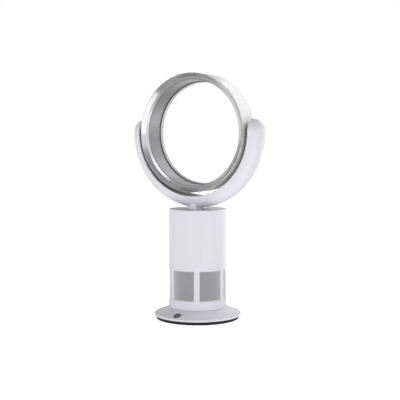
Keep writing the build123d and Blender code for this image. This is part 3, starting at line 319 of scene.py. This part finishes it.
button_circle = 0.0895
button_height = cone_high[1] - (button_circle - cone_high[0]) * tan(cone_slope)
button_middle = Vector((0.0, -button_circle, button_height))
button_out = Vector((0.0, -sin(cone_slope), cos(cone_slope)))
hole_radius, hole_depth, edge_break = 0.00905, 0.012, 0.0010
edge_low, edge_high = hole_radius - 0.0002, hole_radius + 0.0008
button_hole = drill(
    "button_hole", hole_radius, hole_radius, button_middle, button_out, hole_depth
)
hole_edge = drill("hole_edge", edge_low, edge_high, button_middle, button_out, edge_break)
carve(base_cover, button_hole, hole_edge)

inlet_low, inlet_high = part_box("power_inlet")
notch_x, notch_y = (inlet_low.x + inlet_high.x) / 2, (inlet_low.y + inlet_high.y) / 2
notch_size, notch_height = (0.0163, 0.0173, 0.0200), 0.0203
notch_form = bmesh.new()
bmesh.ops.create_cube(notch_form, size=1.0)
notch = loose("notch", notch_form)
notch.scale = notch_size
notch.location = (notch_x, notch_y, notch_height)
carve(base_cover, notch)


# ---------------------------------------------------------------- power button
# A round push button of black plastic, slightly dished, in a hole with a broken edge. A
# pad-printed standby sign, an open circle with a stroke, marks it.
button_black = Finish("button_black")
smears = button_black.noise(260.0, 3.0)
button_black.feed("Base Color", smears.colour((0.040, 0.040, 0.043), (0.062, 0.062, 0.066)))
button_black.feed("Roughness", smears * 0.16 + 0.26)
button_black.grain(button_black.noise(2600.0), 0.00001)


def on_button(radius, height, angle):
    """A point round the button's own axis, height above the cone."""
    across = Vector((1.0, 0.0, 0.0))
    up_slope = button_out.cross(across)
    around = across * cos(angle) + up_slope * sin(angle)
    return button_middle + around * radius + button_out * height


button_corners = [
    (0.0, -0.0044, 0),
    (0.0015, -0.0044, 0),
    (0.0015, -0.0035, 0),
    (0.00965, -0.0035, 0.0002),
    (0.00965, -0.0028, 0.0002),
    (0.00875, -0.0028, 0),
    (0.00875, 0.0005, 0.0004),
    (0.0072, 0.00045, 0.0006),
    (0.0045, 0.00022, 0.0010),
    (0.0, 0.00018, 0),
]
turned(
    "button_cap",
    button_corners,
    "button",
    button_black.material,
    ["power_button"],
    spot=on_button,
    sides=96,
)

print_grey = Finish("print_grey")
ink = print_grey.noise(900.0)
print_grey.feed("Base Color", ink.colour((0.42, 0.42, 0.43), (0.55, 0.55, 0.56)))
print_grey.feed("Roughness", ink * 0.2 + 0.4)

sign_height = 0.00030
circle_inside, circle_outside = 0.0026, 0.0033
circle_steps = 40
circle_gap = radians(38)
stroke_half, stroke_low, stroke_high = 0.00034, 0.0008, 0.0036
sign_rows = []
for radius in (circle_inside, circle_outside):
    row = []
    for step in range(circle_steps + 1):
        angle = pi / 2 + circle_gap + (tau - 2 * circle_gap) * step / circle_steps
        row.append(on_button(radius, sign_height, angle))
    sign_rows.append(row)
sign_form = woven(sign_rows, rows_close=False, columns_close=False)
stroke = []
for across, along in (
    (-stroke_half, stroke_low),
    (stroke_half, stroke_low),
    (stroke_half, stroke_high),
    (-stroke_half, stroke_high),
):
    reach = sqrt(across**2 + along**2)
    stroke.append(sign_form.verts.new(on_button(reach, sign_height, atan2(along, across))))
sign_form.faces.new(stroke)
standby_sign = piece("standby_sign", sign_form, "button", print_grey.material, [])
thicken = standby_sign.modifiers.new("thickness", "SOLIDIFY")
thicken.thickness = 0.00012
thicken.offset = 0.0


# ---------------------------------------------------------------- drum
# One tube of white satin plastic, moulded with six tall windows and held to the floor plate
# by four screws. Every window edge is lightly broken.
drum_radius = 0.068
drum_foot, drum_top, top_band = 0.0274, 0.2605, 0.008
window_foot, window_top = 0.0477, 0.1199
window_angle = radians(51.0)
pillar_angle = tau / 6 - window_angle
window_steps, pillar_steps = 16, 4
window_row = 1
drum_angles = []
window_faces = set()
for window in range(6):
    start = -pi / 2 - window_angle / 2 + tau * window / 6
    for step in range(window_steps):
        window_faces.add((window_row, len(drum_angles)))
        drum_angles.append(start + window_angle * step / window_steps)
    for step in range(pillar_steps):
        drum_angles.append(start + window_angle + pillar_angle * step / pillar_steps)
drum_levels = [drum_foot, window_foot, window_top, drum_top - top_band, drum_top]
drum_rows = [
    [standing(drum_radius, level, angle) for angle in drum_angles] for level in drum_levels
]
drum_form = woven(drum_rows, rows_close=False, left_out=window_faces)
drum_form.normal_update()
drum = piece("drum_shell", drum_form, "body", white, ["body_shell"])


def walled(target, thickness, edge, segments=3):
    """Gives a skin its wall, towards the inside, with rounded edges all round."""
    wall = target.modifiers.new("wall", "SOLIDIFY")
    wall.thickness = thickness
    wall.offset = -1.0
    wall.use_even_offset = True
    broken = target.modifiers.new("broken_edges", "BEVEL")
    broken.width = edge
    broken.segments = segments
    broken.limit_method = "ANGLE"
    broken.angle_limit = radians(50)
    broken.miter_outer = "MITER_ARC"
    weighted = target.modifiers.new("even_shading", "WEIGHTED_NORMAL")
    weighted.keep_sharp = False


window_edge = 0.0005
walled(drum, plastic_wall, window_edge)


# ---------------------------------------------------------------- intake grilles
# Six panels of fine square mesh, moulded in one with a narrow frame. Each is pushed into its
# window from inside the drum and lies a little below the drum's surface.
mesh_grey = moulded("mesh_grey", (0.720, 0.718, 0.738), (0.750, 0.748, 0.768), 0.5, 0.00001)
mesh_radius = 0.0667
mesh_columns, mesh_rows = 30, 36
bar_thickness = 0.00100
frame_width = 0.0016
frame_inside, frame_outside = 0.0661, 0.0672
frame_steps = 24
edge_gap = 0.00015
half_mesh = window_angle / 2 - edge_gap / drum_radius
half_field = half_mesh - frame_width / mesh_radius
mesh_foot, mesh_top = window_foot + edge_gap, window_top - edge_gap
field_foot, field_top = mesh_foot + frame_width, mesh_top - frame_width


def fan_out(middle, half_turn, steps):
    """Angles in equal steps, to both sides of a middle one."""
    return [middle - half_turn + 2 * half_turn * step / steps for step in range(steps + 1)]


for window in range(6):
    middle = -pi / 2 + tau * window / 6
    field = []
    for row in range(mesh_rows + 1):
        height = field_foot + (field_top - field_foot) * row / mesh_rows
        angles = fan_out(middle, half_field, mesh_columns)
        field.append([standing(mesh_radius, height, angle) for angle in angles])
    field_form = woven(field, rows_close=False, columns_close=False)
    field_name = f"fine_mesh_{window + 1}"
    fine_mesh = piece(field_name, field_form, "body", mesh_grey, [])
    bars = fine_mesh.modifiers.new("bars", "WIREFRAME")
    bars.thickness = bar_thickness
    bars.use_replace = True
    bars.use_boundary = True
    bars.use_even_offset = False
    fine_mesh.data.shade_flat()

    outer_path, inner_path = [], []
    for path, half_turn, low, high in (
        (outer_path, half_mesh, mesh_foot, mesh_top),
        (inner_path, half_field, field_foot, field_top),
    ):
        angles = fan_out(middle, half_turn, frame_steps)
        path += [(angle, low) for angle in angles] + [(angle, high) for angle in reversed(angles)]
    loops = []
    for path, radius in (
        (outer_path, frame_inside),
        (outer_path, frame_outside),
        (inner_path, frame_outside),
        (inner_path, frame_inside),
    ):
        loops.append([standing(radius, height, angle) for angle, height in path])
    frame_form = woven(loops)
    bmesh.ops.recalc_face_normals(frame_form, faces=frame_form.faces)
    frame_name = f"mesh_frame_{window + 1}"
    grille_node = f"intake_grille_{window + 1}"
    piece(frame_name, frame_form, "body", mesh_grey, [grille_node])


# ---------------------------------------------------------------- top cover
# A flat disc of light grey satin plastic, dropped into the drum's top onto a ledge, with the
# air slot under the neck. A shallow rounded rim runs round it.
cover_grey = moulded("cover_grey", (0.520, 0.518, 0.535), (0.550, 0.548, 0.565), 0.46)
cover_top, cover_bottom = 0.2600, 0.2572
cover_radius, cover_hole = 0.06535, 0.0240
disc_corners = [
    (cover_hole, cover_bottom, 0),
    (cover_radius, cover_bottom, 0.0003),
    (cover_radius, cover_top, 0.0006),
    (cover_hole, cover_top, 0),
]
turned("cover_disc", disc_corners, "body", cover_grey, ["top_cover"])


# ---------------------------------------------------------------- neck
# A hollow stem of white plastic with a flared foot, screwed to the top cover from below. Its
# shoulders blend into the belly of the yoke.
def rounded_box(half_x, half_y, corner, height, steps=8):
    """Points round a box with round corners."""
    points = []
    for quarter, (sign_x, sign_y) in enumerate(((1, 1), (-1, 1), (-1, -1), (1, -1))):
        centre_x = sign_x * (half_x - corner)
        centre_y = sign_y * (half_y - corner)
        for step in range(steps + 1):
            angle = pi / 2 * (quarter + step / steps)
            points.append(
                (centre_x + corner * cos(angle), centre_y + corner * sin(angle), height)
            )
    return points


neck_half_x, neck_half_y, neck_corner = 0.0093, 0.0245, 0.0045
flare_width, flare_height, flare_steps = 0.0078, 0.0075, 8
neck_rows = []
for step in range(flare_steps + 1):
    angle = pi / 2 * step / flare_steps
    half_x = neck_half_x + flare_width * (1 - sin(angle))
    rise = flare_height * (1 - cos(angle))
    neck_rows.append(rounded_box(half_x, neck_half_y, neck_corner, cover_top + rise))
shoulder = ((0.0095, 0.0), (0.0120, 0.0001), (0.0142, 0.0007), (0.0152, 0.0016), (0.0158, 0.0030))
for rise, drawn_in in shoulder:
    half_x, half_y = neck_half_x - drawn_in / 2, neck_half_y - drawn_in
    neck_rows.append(rounded_box(half_x, half_y, neck_corner, cover_top + rise))
skin("neck_stem", neck_rows, "body", white, ["neck"], round_trip=False)


# ---------------------------------------------------------------- yoke shells and end caps
# The U is two shells of white plastic, split along its middle and clipped together, with a
# separate cap on the end of each arm. Flat inside, bulging outside, and hollow for the air.
ring_height = 0.4397
ring_middle = Vector((0.0, 0.0, ring_height))
arm_end = radians(0.65)
yoke_inside, yoke_side, yoke_bulge = 0.1485, 0.1500, 0.0260
yoke_half_width = 0.0300
opening_half_width = 0.02515
edge_round, edge_steps, bulge_steps = 0.0014, 6, 26
edge_lead = 1.6 * edge_round
seam_edge = 0.00025


def yoke_section():
    """Half of the section as (radius, half width), from the inner edge round to the back."""
    section = [(yoke_inside, opening_half_width), (yoke_inside, yoke_half_width - edge_lead)]
    for step in range(edge_steps + 1):
        angle = pi / 2 * step / edge_steps
        radius = yoke_inside + edge_round * (1 - cos(angle))
        section.append((radius, yoke_half_width - edge_round + edge_round * sin(angle)))
    for step in range(bulge_steps + 1):
        angle = pi / 2 * (1 - step / bulge_steps)
        section.append((yoke_side + yoke_bulge * cos(angle), yoke_half_width * sin(angle)))
    return section


def yoke_loop(section, arc_steps=150, dome_steps=28):
    """Rows of the section, down one side of the U, over a round end, and back up."""
    rows = []
    for side in (-1, 1):
        for step in range(arc_steps):
            share = step / arc_steps
            angle = arm_end - (pi + 2 * arm_end) * (share if side < 0 else 1 - share)
            outward = Vector((cos(angle), 0.0, sin(angle)))
            across = Vector((0.0, side, 0.0))
            rows.append((outward, across))
        angle = arm_end if side > 0 else -pi - arm_end
        outward = Vector((cos(angle), 0.0, sin(angle)))
        upward = Vector((0.0, 0.0, 1.0)) - outward * outward.z
        upward.normalize()
        for step in range(dome_steps):
            turn = pi * step / dome_steps
            across = Vector((0.0, side * cos(turn), 0.0)) + upward * sin(turn)
            rows.append((outward, across))
    return [
        [ring_middle + outward * radius + across * width for radius, width in section]
        for outward, across in rows
    ]


def yoke_part(name, material, replaced, cuts):
    """A stretch of the U's skin between cutting planes, each a point and the side to drop."""
    form = woven(yoke_loop(yoke_section()), columns_close=False)
    bmesh.ops.remove_doubles(form, verts=form.verts, dist=1e-6)
    for point, drop in cuts:
        everything = [*form.verts, *form.edges, *form.faces]
        settings = {"plane_co": point, "plane_no": drop, "clear_outer": True}
        bmesh.ops.bisect_plane(form, geom=everything, dist=1e-7, **settings)
    bmesh.ops.recalc_face_normals(form, faces=form.faces)
    outermost = max(form.faces, key=lambda face: (face.calc_center_median() - ring_middle).length)
    if outermost.normal.dot(outermost.calc_center_median() - ring_middle) < 0:
        bmesh.ops.reverse_faces(form, faces=form.faces)
    walled(piece(name, form, "body", material, replaced), plastic_wall, seam_edge, 2)


cap_seam = ring_height + 0.0105
seam_half, cap_gap = 0.00008, 0.00015
below_cap = ((0.0, 0.0, cap_seam - cap_gap), (0.0, 0.0, 1.0))
above_seam = ((0.0, 0.0, cap_seam), (0.0, 0.0, -1.0))
front_half = ((0.0, -seam_half, 0.0), (0.0, 1.0, 0.0))
rear_half = ((0.0, seam_half, 0.0), (0.0, -1.0, 0.0))
left_half = ((0.0, 0.0, 0.0), (1.0, 0.0, 0.0))
right_half = ((0.0, 0.0, 0.0), (-1.0, 0.0, 0.0))
yoke_part("yoke_front", white, ["yoke_front_shell"], (front_half, below_cap))
yoke_part("yoke_rear", white, ["yoke_rear_shell"], (rear_half, below_cap))
yoke_part("arm_cap_left", white, ["yoke_cap_left"], (left_half, above_seam))
yoke_part("arm_cap_right", white, ["yoke_cap_right"], (right_half, above_seam))


# ---------------------------------------------------------------- ring, outer wall
# The outside of the air ring, a white moulding with more gloss than the drum, its white set
# lighter than the drum's as painted light for the ring's upper side. It snaps onto the front
# flare and carries the two pivots.
def lying(radius, along, angle):
    """A point round the ring's axis, which runs from front to back."""
    return (radius * cos(angle), along, ring_height + radius * sin(angle))


def ring_part(name, corners, material, replaced):
    """A moulding of the ring, turned about the ring's axis."""
    turned(name, corners, "ring", material, replaced, spot=lying, sides=360)


front_radius, rear_radius = 0.1393, 0.1387
inlay_radius = 0.1381
flare_seam, rim_seam = -0.03085, 0.0180
# The ring's white plastic, set lighter than the drum's white: painted light for the ring's upper
# side, which gets less light.
ring_white = moulded("ring_white", (0.890, 0.889, 0.902), (0.910, 0.909, 0.922), 0.30, 0.00002)
outer_corners = [
    (front_radius, flare_seam, 0.0003),
    (rear_radius, rim_seam, 0.0002),
    (0.1367, rim_seam, 0),
    (0.1373, -0.0290, 0),
    (inlay_radius, flare_seam, 0),
]
ring_part("ring_outside", outer_corners, ring_white, ["ring_outer_shell"])


# ---------------------------------------------------------------- ring, front flare
# A bright metallised moulding that closes the ring's front. Two round facets lead in from
# its rim to the inner wall.
silver_bright = Finish("silver_bright", metallic=0.80)
bright_haze = silver_bright.noise(30.0, 3.0)
silver_bright.feed("Base Color", bright_haze.colour((0.60, 0.60, 0.61), (0.64, 0.64, 0.65)))
silver_bright.feed("Roughness", bright_haze * 0.06 + 0.15)
silver_bright.grain(silver_bright.noise(1800.0), 0.000004)
bright = silver_bright.material
throat_radius, groove_radius, tongue_radius = 0.1236, 0.12555, 0.12680
throat_front, tongue_back = -0.0215, -0.0175
bezel_corners = [
    (front_radius, -0.0335, 0.0002),
    (front_radius, -0.0359, 0.0006),
    (0.1310, -0.0249, 0.0008),
    (throat_radius, throat_front, 0.0004),
    (groove_radius, throat_front, 0),
    (groove_radius, tongue_back, 0),
    (tongue_radius, tongue_back, 0),
    (0.1322, -0.0236, 0),
    (inlay_radius, -0.0310, 0),
    (inlay_radius, -0.0335, 0),
]
ring_part("front_flare", bezel_corners, bright, ["front_bezel"])


# ---------------------------------------------------------------- ring, inner wall
# A short tube of plastic, painted in satin silver, that narrows a little to the back. The air
# runs forward along its inside.
silver_satin = Finish("silver_satin", metallic=1.0)
satin_haze = silver_satin.noise(24.0, 3.0)
flakes = silver_satin.noise(2400.0)
silver_satin.feed("Base Color", satin_haze.colour((0.285, 0.285, 0.290), (0.305, 0.305, 0.310)))
silver_satin.feed("Roughness", flakes * 0.1 + 0.30)
silver_satin.grain(flakes, 0.000006)
satin = silver_satin.material
inner_front, inner_back = -0.02135, 0.0280
inner_corners = [
    (throat_radius, inner_front, 0.0003),
    (0.1254, inner_front, 0),
    (0.1243, inner_back, 0),
    (0.1225, inner_back, 0.0006),
]
ring_part("ring_inside", inner_corners, satin, ["ring_inner_shell"])


# ---------------------------------------------------------------- ring, rear rim
# A white moulding that rounds off the ring at the back and turns the air round. It snaps into
# the outer wall behind a fine seam.
rim_front, rim_back, rim_inside_back = 0.01815, 0.0345, 0.0330
curl_inside, curl_edge, lip_edge = 0.1372, 0.12625, 0.12615
curl_corners = [
    (rear_radius, rim_front, 0.0002),
    (rear_radius, rim_back, 0.0105),
    (curl_edge, rim_back, 0.0001),
    (curl_edge, rim_inside_back, 0),
    (curl_inside, rim_inside_back, 0.0090),
    (curl_inside, rim_front, 0),
]
# The rear rim takes the outer wall's white, which is painted lighter than the drum's.
ring_part("rear_curl", curl_corners, ring_white, ["rear_rim"])


# ---------------------------------------------------------------- ring, slot lip
# The pale grey inner band of the rear rim. It turns forward inside the inner wall, and the
# slot that stays open between the two blows the air out.
lip_grey = moulded("lip_grey", (0.640, 0.639, 0.652), (0.665, 0.664, 0.677), 0.34, 0.00002)
lip_tip = 0.0235
lip_corners = [
    (lip_edge, rim_back, 0.0001),
    (0.1183, rim_back, 0.0040),
    (0.1199, lip_tip, 0.0006),
    (0.1220, lip_tip, 0.0006),
    (0.1206, rim_inside_back, 0.0026),
    (lip_edge, rim_inside_back, 0),
]
ring_part("lip_band", lip_corners, lip_grey, ["slot_lip"])


# ---------------------------------------------------------------- yoke frame and trunnions
# The dark frame that closes the U's inner side and holds the pivots, and the two hollow pivots of
# the ring: grey plastic, its tone set near black as painted shade for the gap between ring and
# yoke. From here on, the pieces keep the shape of the solids.
def finish_kept(material, *slots):
    """Gives a finish to the solids still shown, by their material slot in the record."""
    for entry in frame["record"]["subparts"]:
        kept = frame["nodes"][entry["node"]]
        if entry["material_slot"] in slots and not kept.hide_render:
            kept.data.materials.clear()
            kept.data.materials.append(material)


# Near-black tone: painted shade for the gap between the ring and the yoke.
frame_painted_shade = moulded("frame_painted_shade", (0.050, 0.050, 0.052), (0.075, 0.075, 0.078), 0.45)
finish_kept(frame_painted_shade, "grey_plastic")


# ---------------------------------------------------------------- black mouldings inside
# The base plate, the body's floor, the socket for the power, and the blower's bellmouth,
# impeller, diffuser, motor cap and collector: black plastic from the same moulder.
black_moulding = moulded("black_moulding", (0.030, 0.030, 0.031), (0.045, 0.045, 0.047), 0.5)
finish_kept(black_moulding, "structure_plastic", "black_plastic")


# ---------------------------------------------------------------- rubber mount
# A soft flat ring of the foot's black rubber. It lies on the bellmouth and carries the blower,
# so that the motor's hum stays out of the drum.
finish_kept(rubber.material, "mount_rubber")


# ---------------------------------------------------------------- gears and bushes
# The swing's gear and pinion, the glide ring and bush of the swivel and the bushes of the
# ring's pivots: acetal, which slides without grease.
acetal = moulded("acetal", (0.76, 0.76, 0.72), (0.82, 0.82, 0.78), 0.35)
finish_kept(acetal, "acetal")


# ---------------------------------------------------------------- steel pieces
# Screws, clips, bearings, the blower's shaft and stator, the swivel's post and retainer, and
# the swing motor's can: plated steel with fine scratches from the tools.
plated = Finish("plated_steel", metallic=1.0)
scratches = plated.noise(700.0, 5.0)
plated.feed("Base Color", scratches.colour((0.50, 0.50, 0.51), (0.66, 0.66, 0.67)))
plated.feed("Roughness", scratches * 0.25 + 0.2)
plated.grain(scratches, 0.00002)
finish_kept(plated.material, "steel")


# ---------------------------------------------------------------- ballast and magnets
# The iron ring that weighs the base down, cast and painted dark, and the blower's rotor with
# its sintered magnets, which looks the same.
casting = Finish("painted_casting", metallic=0.4)
pits = casting.noise(420.0, 6.0)
casting.feed("Base Color", pits.colour((0.05, 0.05, 0.055), (0.11, 0.11, 0.115)))
casting.feed("Roughness", pits * 0.3 + 0.5)
casting.grain(pits, 0.0002)
finish_kept(casting.material, "ballast_iron", "magnet")


# ---------------------------------------------------------------- motor coils
# The nine windings of the blower's motor, one round each tooth of the stator: enamelled
# copper wire, wound turn by turn.
copper = Finish("enamelled_copper", metallic=0.9)
turns = (copper.noise(300.0) * 6.0).sine() * 0.5 + 0.5
copper.feed("Base Color", turns.colour((0.36, 0.14, 0.05), (0.60, 0.27, 0.10)))
copper.feed("Roughness", turns * 0.2 + 0.25)
copper.grain(turns, 0.0001)
finish_kept(copper.material, "copper")


# ---------------------------------------------------------------- control board and button switch
# Glass laminate under green lacquer, with the traces showing through: the board in the drum's
# lower part, and the small one that carries the button's switch.
laminate = Finish("circuit_laminate")
traces = laminate.noise(160.0, 0.0).fade(0.49, 0.51)
laminate.feed("Base Color", traces.colour((0.02, 0.12, 0.06), (0.03, 0.19, 0.10)))
laminate.feed("Roughness", traces * 0.1 + 0.35)
laminate.grain(traces, 0.00005)
finish_kept(laminate.material, "circuit_board")


# ---------------------------------------------------------------- dust net and friction washers
# A black nylon net inside the windows keeps dust off the blower. Felt washers of the same
# colour brake the ring's tilt.
cloth = Finish("nylon_net", roughness=0.85)
threads = cloth.noise(1500.0)
cloth.feed("Base Color", threads.colour((0.010, 0.010, 0.011), (0.022, 0.022, 0.024)))
cloth.grain(threads, 0.0003)
finish_kept(cloth.material, "net_fabric", "washer_felt")


# ---------------------------------------------------------------- floor, background and lamps
# A pale floor without end, a white surrounding that lights the fan most from low down, and
# three large soft lamps: one in front, one behind, and one high up behind at the right.
def seen_directly(tree):
    """1 for what the camera sees, straight or in metal and glass, and 0 for plain light."""
    paths = tree.nodes.new("ShaderNodeLightPath").outputs
    camera_ray, glossy_ray, glass_ray = (
        Wire(tree, paths[f"Is {kind} Ray"]) for kind in ("Camera", "Glossy", "Transmission")
    )
    straight_or_metal = camera_ray.maths("MAXIMUM", camera_ray, glossy_ray)
    return straight_or_metal.maths("MAXIMUM", straight_or_metal, glass_ray)


def glowing(made, colour):
    """Gives a sheet a shader without gloss. Returns its tree and the socket of its glow."""
    material = bpy.data.materials.new(made.name)
    material.use_nodes = True
    made.data.materials.append(material)
    shader = material.node_tree.nodes["Principled BSDF"]
    shader.inputs["Base Color"].default_value = (*colour, 1.0)
    shader.inputs["Roughness"].default_value = 1.0
    shader.inputs["Specular IOR Level"].default_value = 0.0
    shader.inputs["Emission Strength"].default_value = 1.0
    return material.node_tree, shader.inputs["Emission Color"]


floor_form = bmesh.new()
bmesh.ops.create_grid(floor_form, x_segments=1, y_segments=1, size=30.0)
floor = loose("floor", floor_form)
floor_glow_plain, floor_glow_gain = 0.45, 0.30
floor_tree, floor_glow = glowing(floor, (0.92, 0.92, 0.92))
glow = seen_directly(floor_tree) * floor_glow_gain + floor_glow_plain
floor_tree.links.new(glow.socket, floor_glow)

world = bpy.data.worlds.new("surroundings")
bpy.context.scene.world = world
world.use_nodes = True
world_tree = world.node_tree
background = world_tree.nodes["Background"]
background.inputs["Color"].default_value = (1.0, 1.0, 1.0, 1.0)
zenith_light, horizon_gain, zenith_height = 0.29, 0.92, 0.5
shown = seen_directly(world_tree)
direction = Wire(world_tree).node("ShaderNodeTexCoord", {}, {}, output=0)
height_seen = direction.node("ShaderNodeSeparateXYZ", {}, {0: direction}, output=2)
ambient = zenith_light + (1 - height_seen.fade(0.0, zenith_height)) * horizon_gain
world_tree.links.new((shown + (1 - shown) * ambient).socket, background.inputs["Strength"])


def lamp(name, place, target, width, height, power):
    """A soft lamp that points at a spot and isn't seen, straight or in metal."""
    light = bpy.data.lights.new(name, "AREA")
    light.shape = "RECTANGLE"
    light.size = width
    light.size_y = height
    light.energy = power
    made = bpy.data.objects.new(name, light)
    bpy.context.scene.collection.objects.link(made)
    made.location = place
    made.rotation_mode = "QUATERNION"
    made.rotation_quaternion = (Vector(place) - Vector(target)).to_track_quat("Z", "Y")
    made.visible_camera = False
    made.visible_glossy = False


lamp("front_lamp", (0.4, -2.95, 0.6), (0.0, 0.0, 0.3), 2.0, 0.9, 17.0)
lamp("rear_lamp", (0.5, 2.8, 0.8), (0.0, 0.0, 0.3), 1.6, 1.2, 12.0)
lamp("high_lamp", (1.5, 2.0, 1.8), (0.0, 0.0, 0.4), 1.2, 1.2, 24.0)


# ---------------------------------------------------------------- cards for the silver
# Six sheets that only metal and gloss mirror, as in a product photograph: dim ones over the
# fan, under it and at its left, bright ones at its right, high in front and high behind.
def card(name, corners, glow, gain=None):
    """A glowing sheet. A gain (near, far, full) makes it brighter away from the origin."""
    sheet = bmesh.new()
    sheet.faces.new([sheet.verts.new(corner) for corner in corners])
    made = loose(name, sheet)
    made.visible_camera = False
    made.visible_diffuse = False
    made.visible_transmission = False
    made.visible_shadow = False
    tree, glow_socket = glowing(made, (0.0, 0.0, 0.0))
    if gain is None:
        glow_socket.default_value = (glow, glow, glow, 1.0)
        return
    near, far, full = gain
    place = Wire(tree).node("ShaderNodeTexCoord", {}, {}, output=3)
    away = place.node("ShaderNodeVectorMath", {"operation": "LENGTH"}, {0: place}, output=1)
    tree.links.new((away.fade(near, far) * (full - glow) + glow).socket, glow_socket)


over = [(-6.0, -6.0, 2.6), (6.0, -6.0, 2.6), (6.0, 2.4, 2.6), (-6.0, 2.4, 2.6)]
card("ceiling_card", over, 0.35, gain=(4.2, 6.8, 1.0))
under = [(-1.7, -1.7, 0.002), (1.7, -1.7, 0.002), (1.7, 0.75, 0.002), (-1.7, 0.75, 0.002)]
card("table_card", under, 0.34, gain=(0.9, 1.45, 1.05))
right = [(0.125, -0.15, 0.01), (0.90, -0.62, 0.475), (1.06, -0.10, 0.475), (0.18, -0.01, 0.01)]
card("side_card", right, 1.8)
strip = [(-0.35, -2.5, 1.35), (0.50, -2.5, 1.35), (0.50, -2.3, 2.00), (-0.62, -2.3, 2.06)]
card("strip_card", strip, 1.9)
left = [(-1.5, 1.2, 0.58), (-1.5, -0.58, 0.54), (-1.5, -0.58, 1.05), (-1.5, 1.2, 1.25)]
card("left_card", left, 0.45)
behind = [(-0.80, 2.6, 1.35), (0.85, 2.6, 1.35), (0.85, 2.6, 2.30), (-0.80, 2.6, 2.30)]
card("back_card", behind, 2.2)
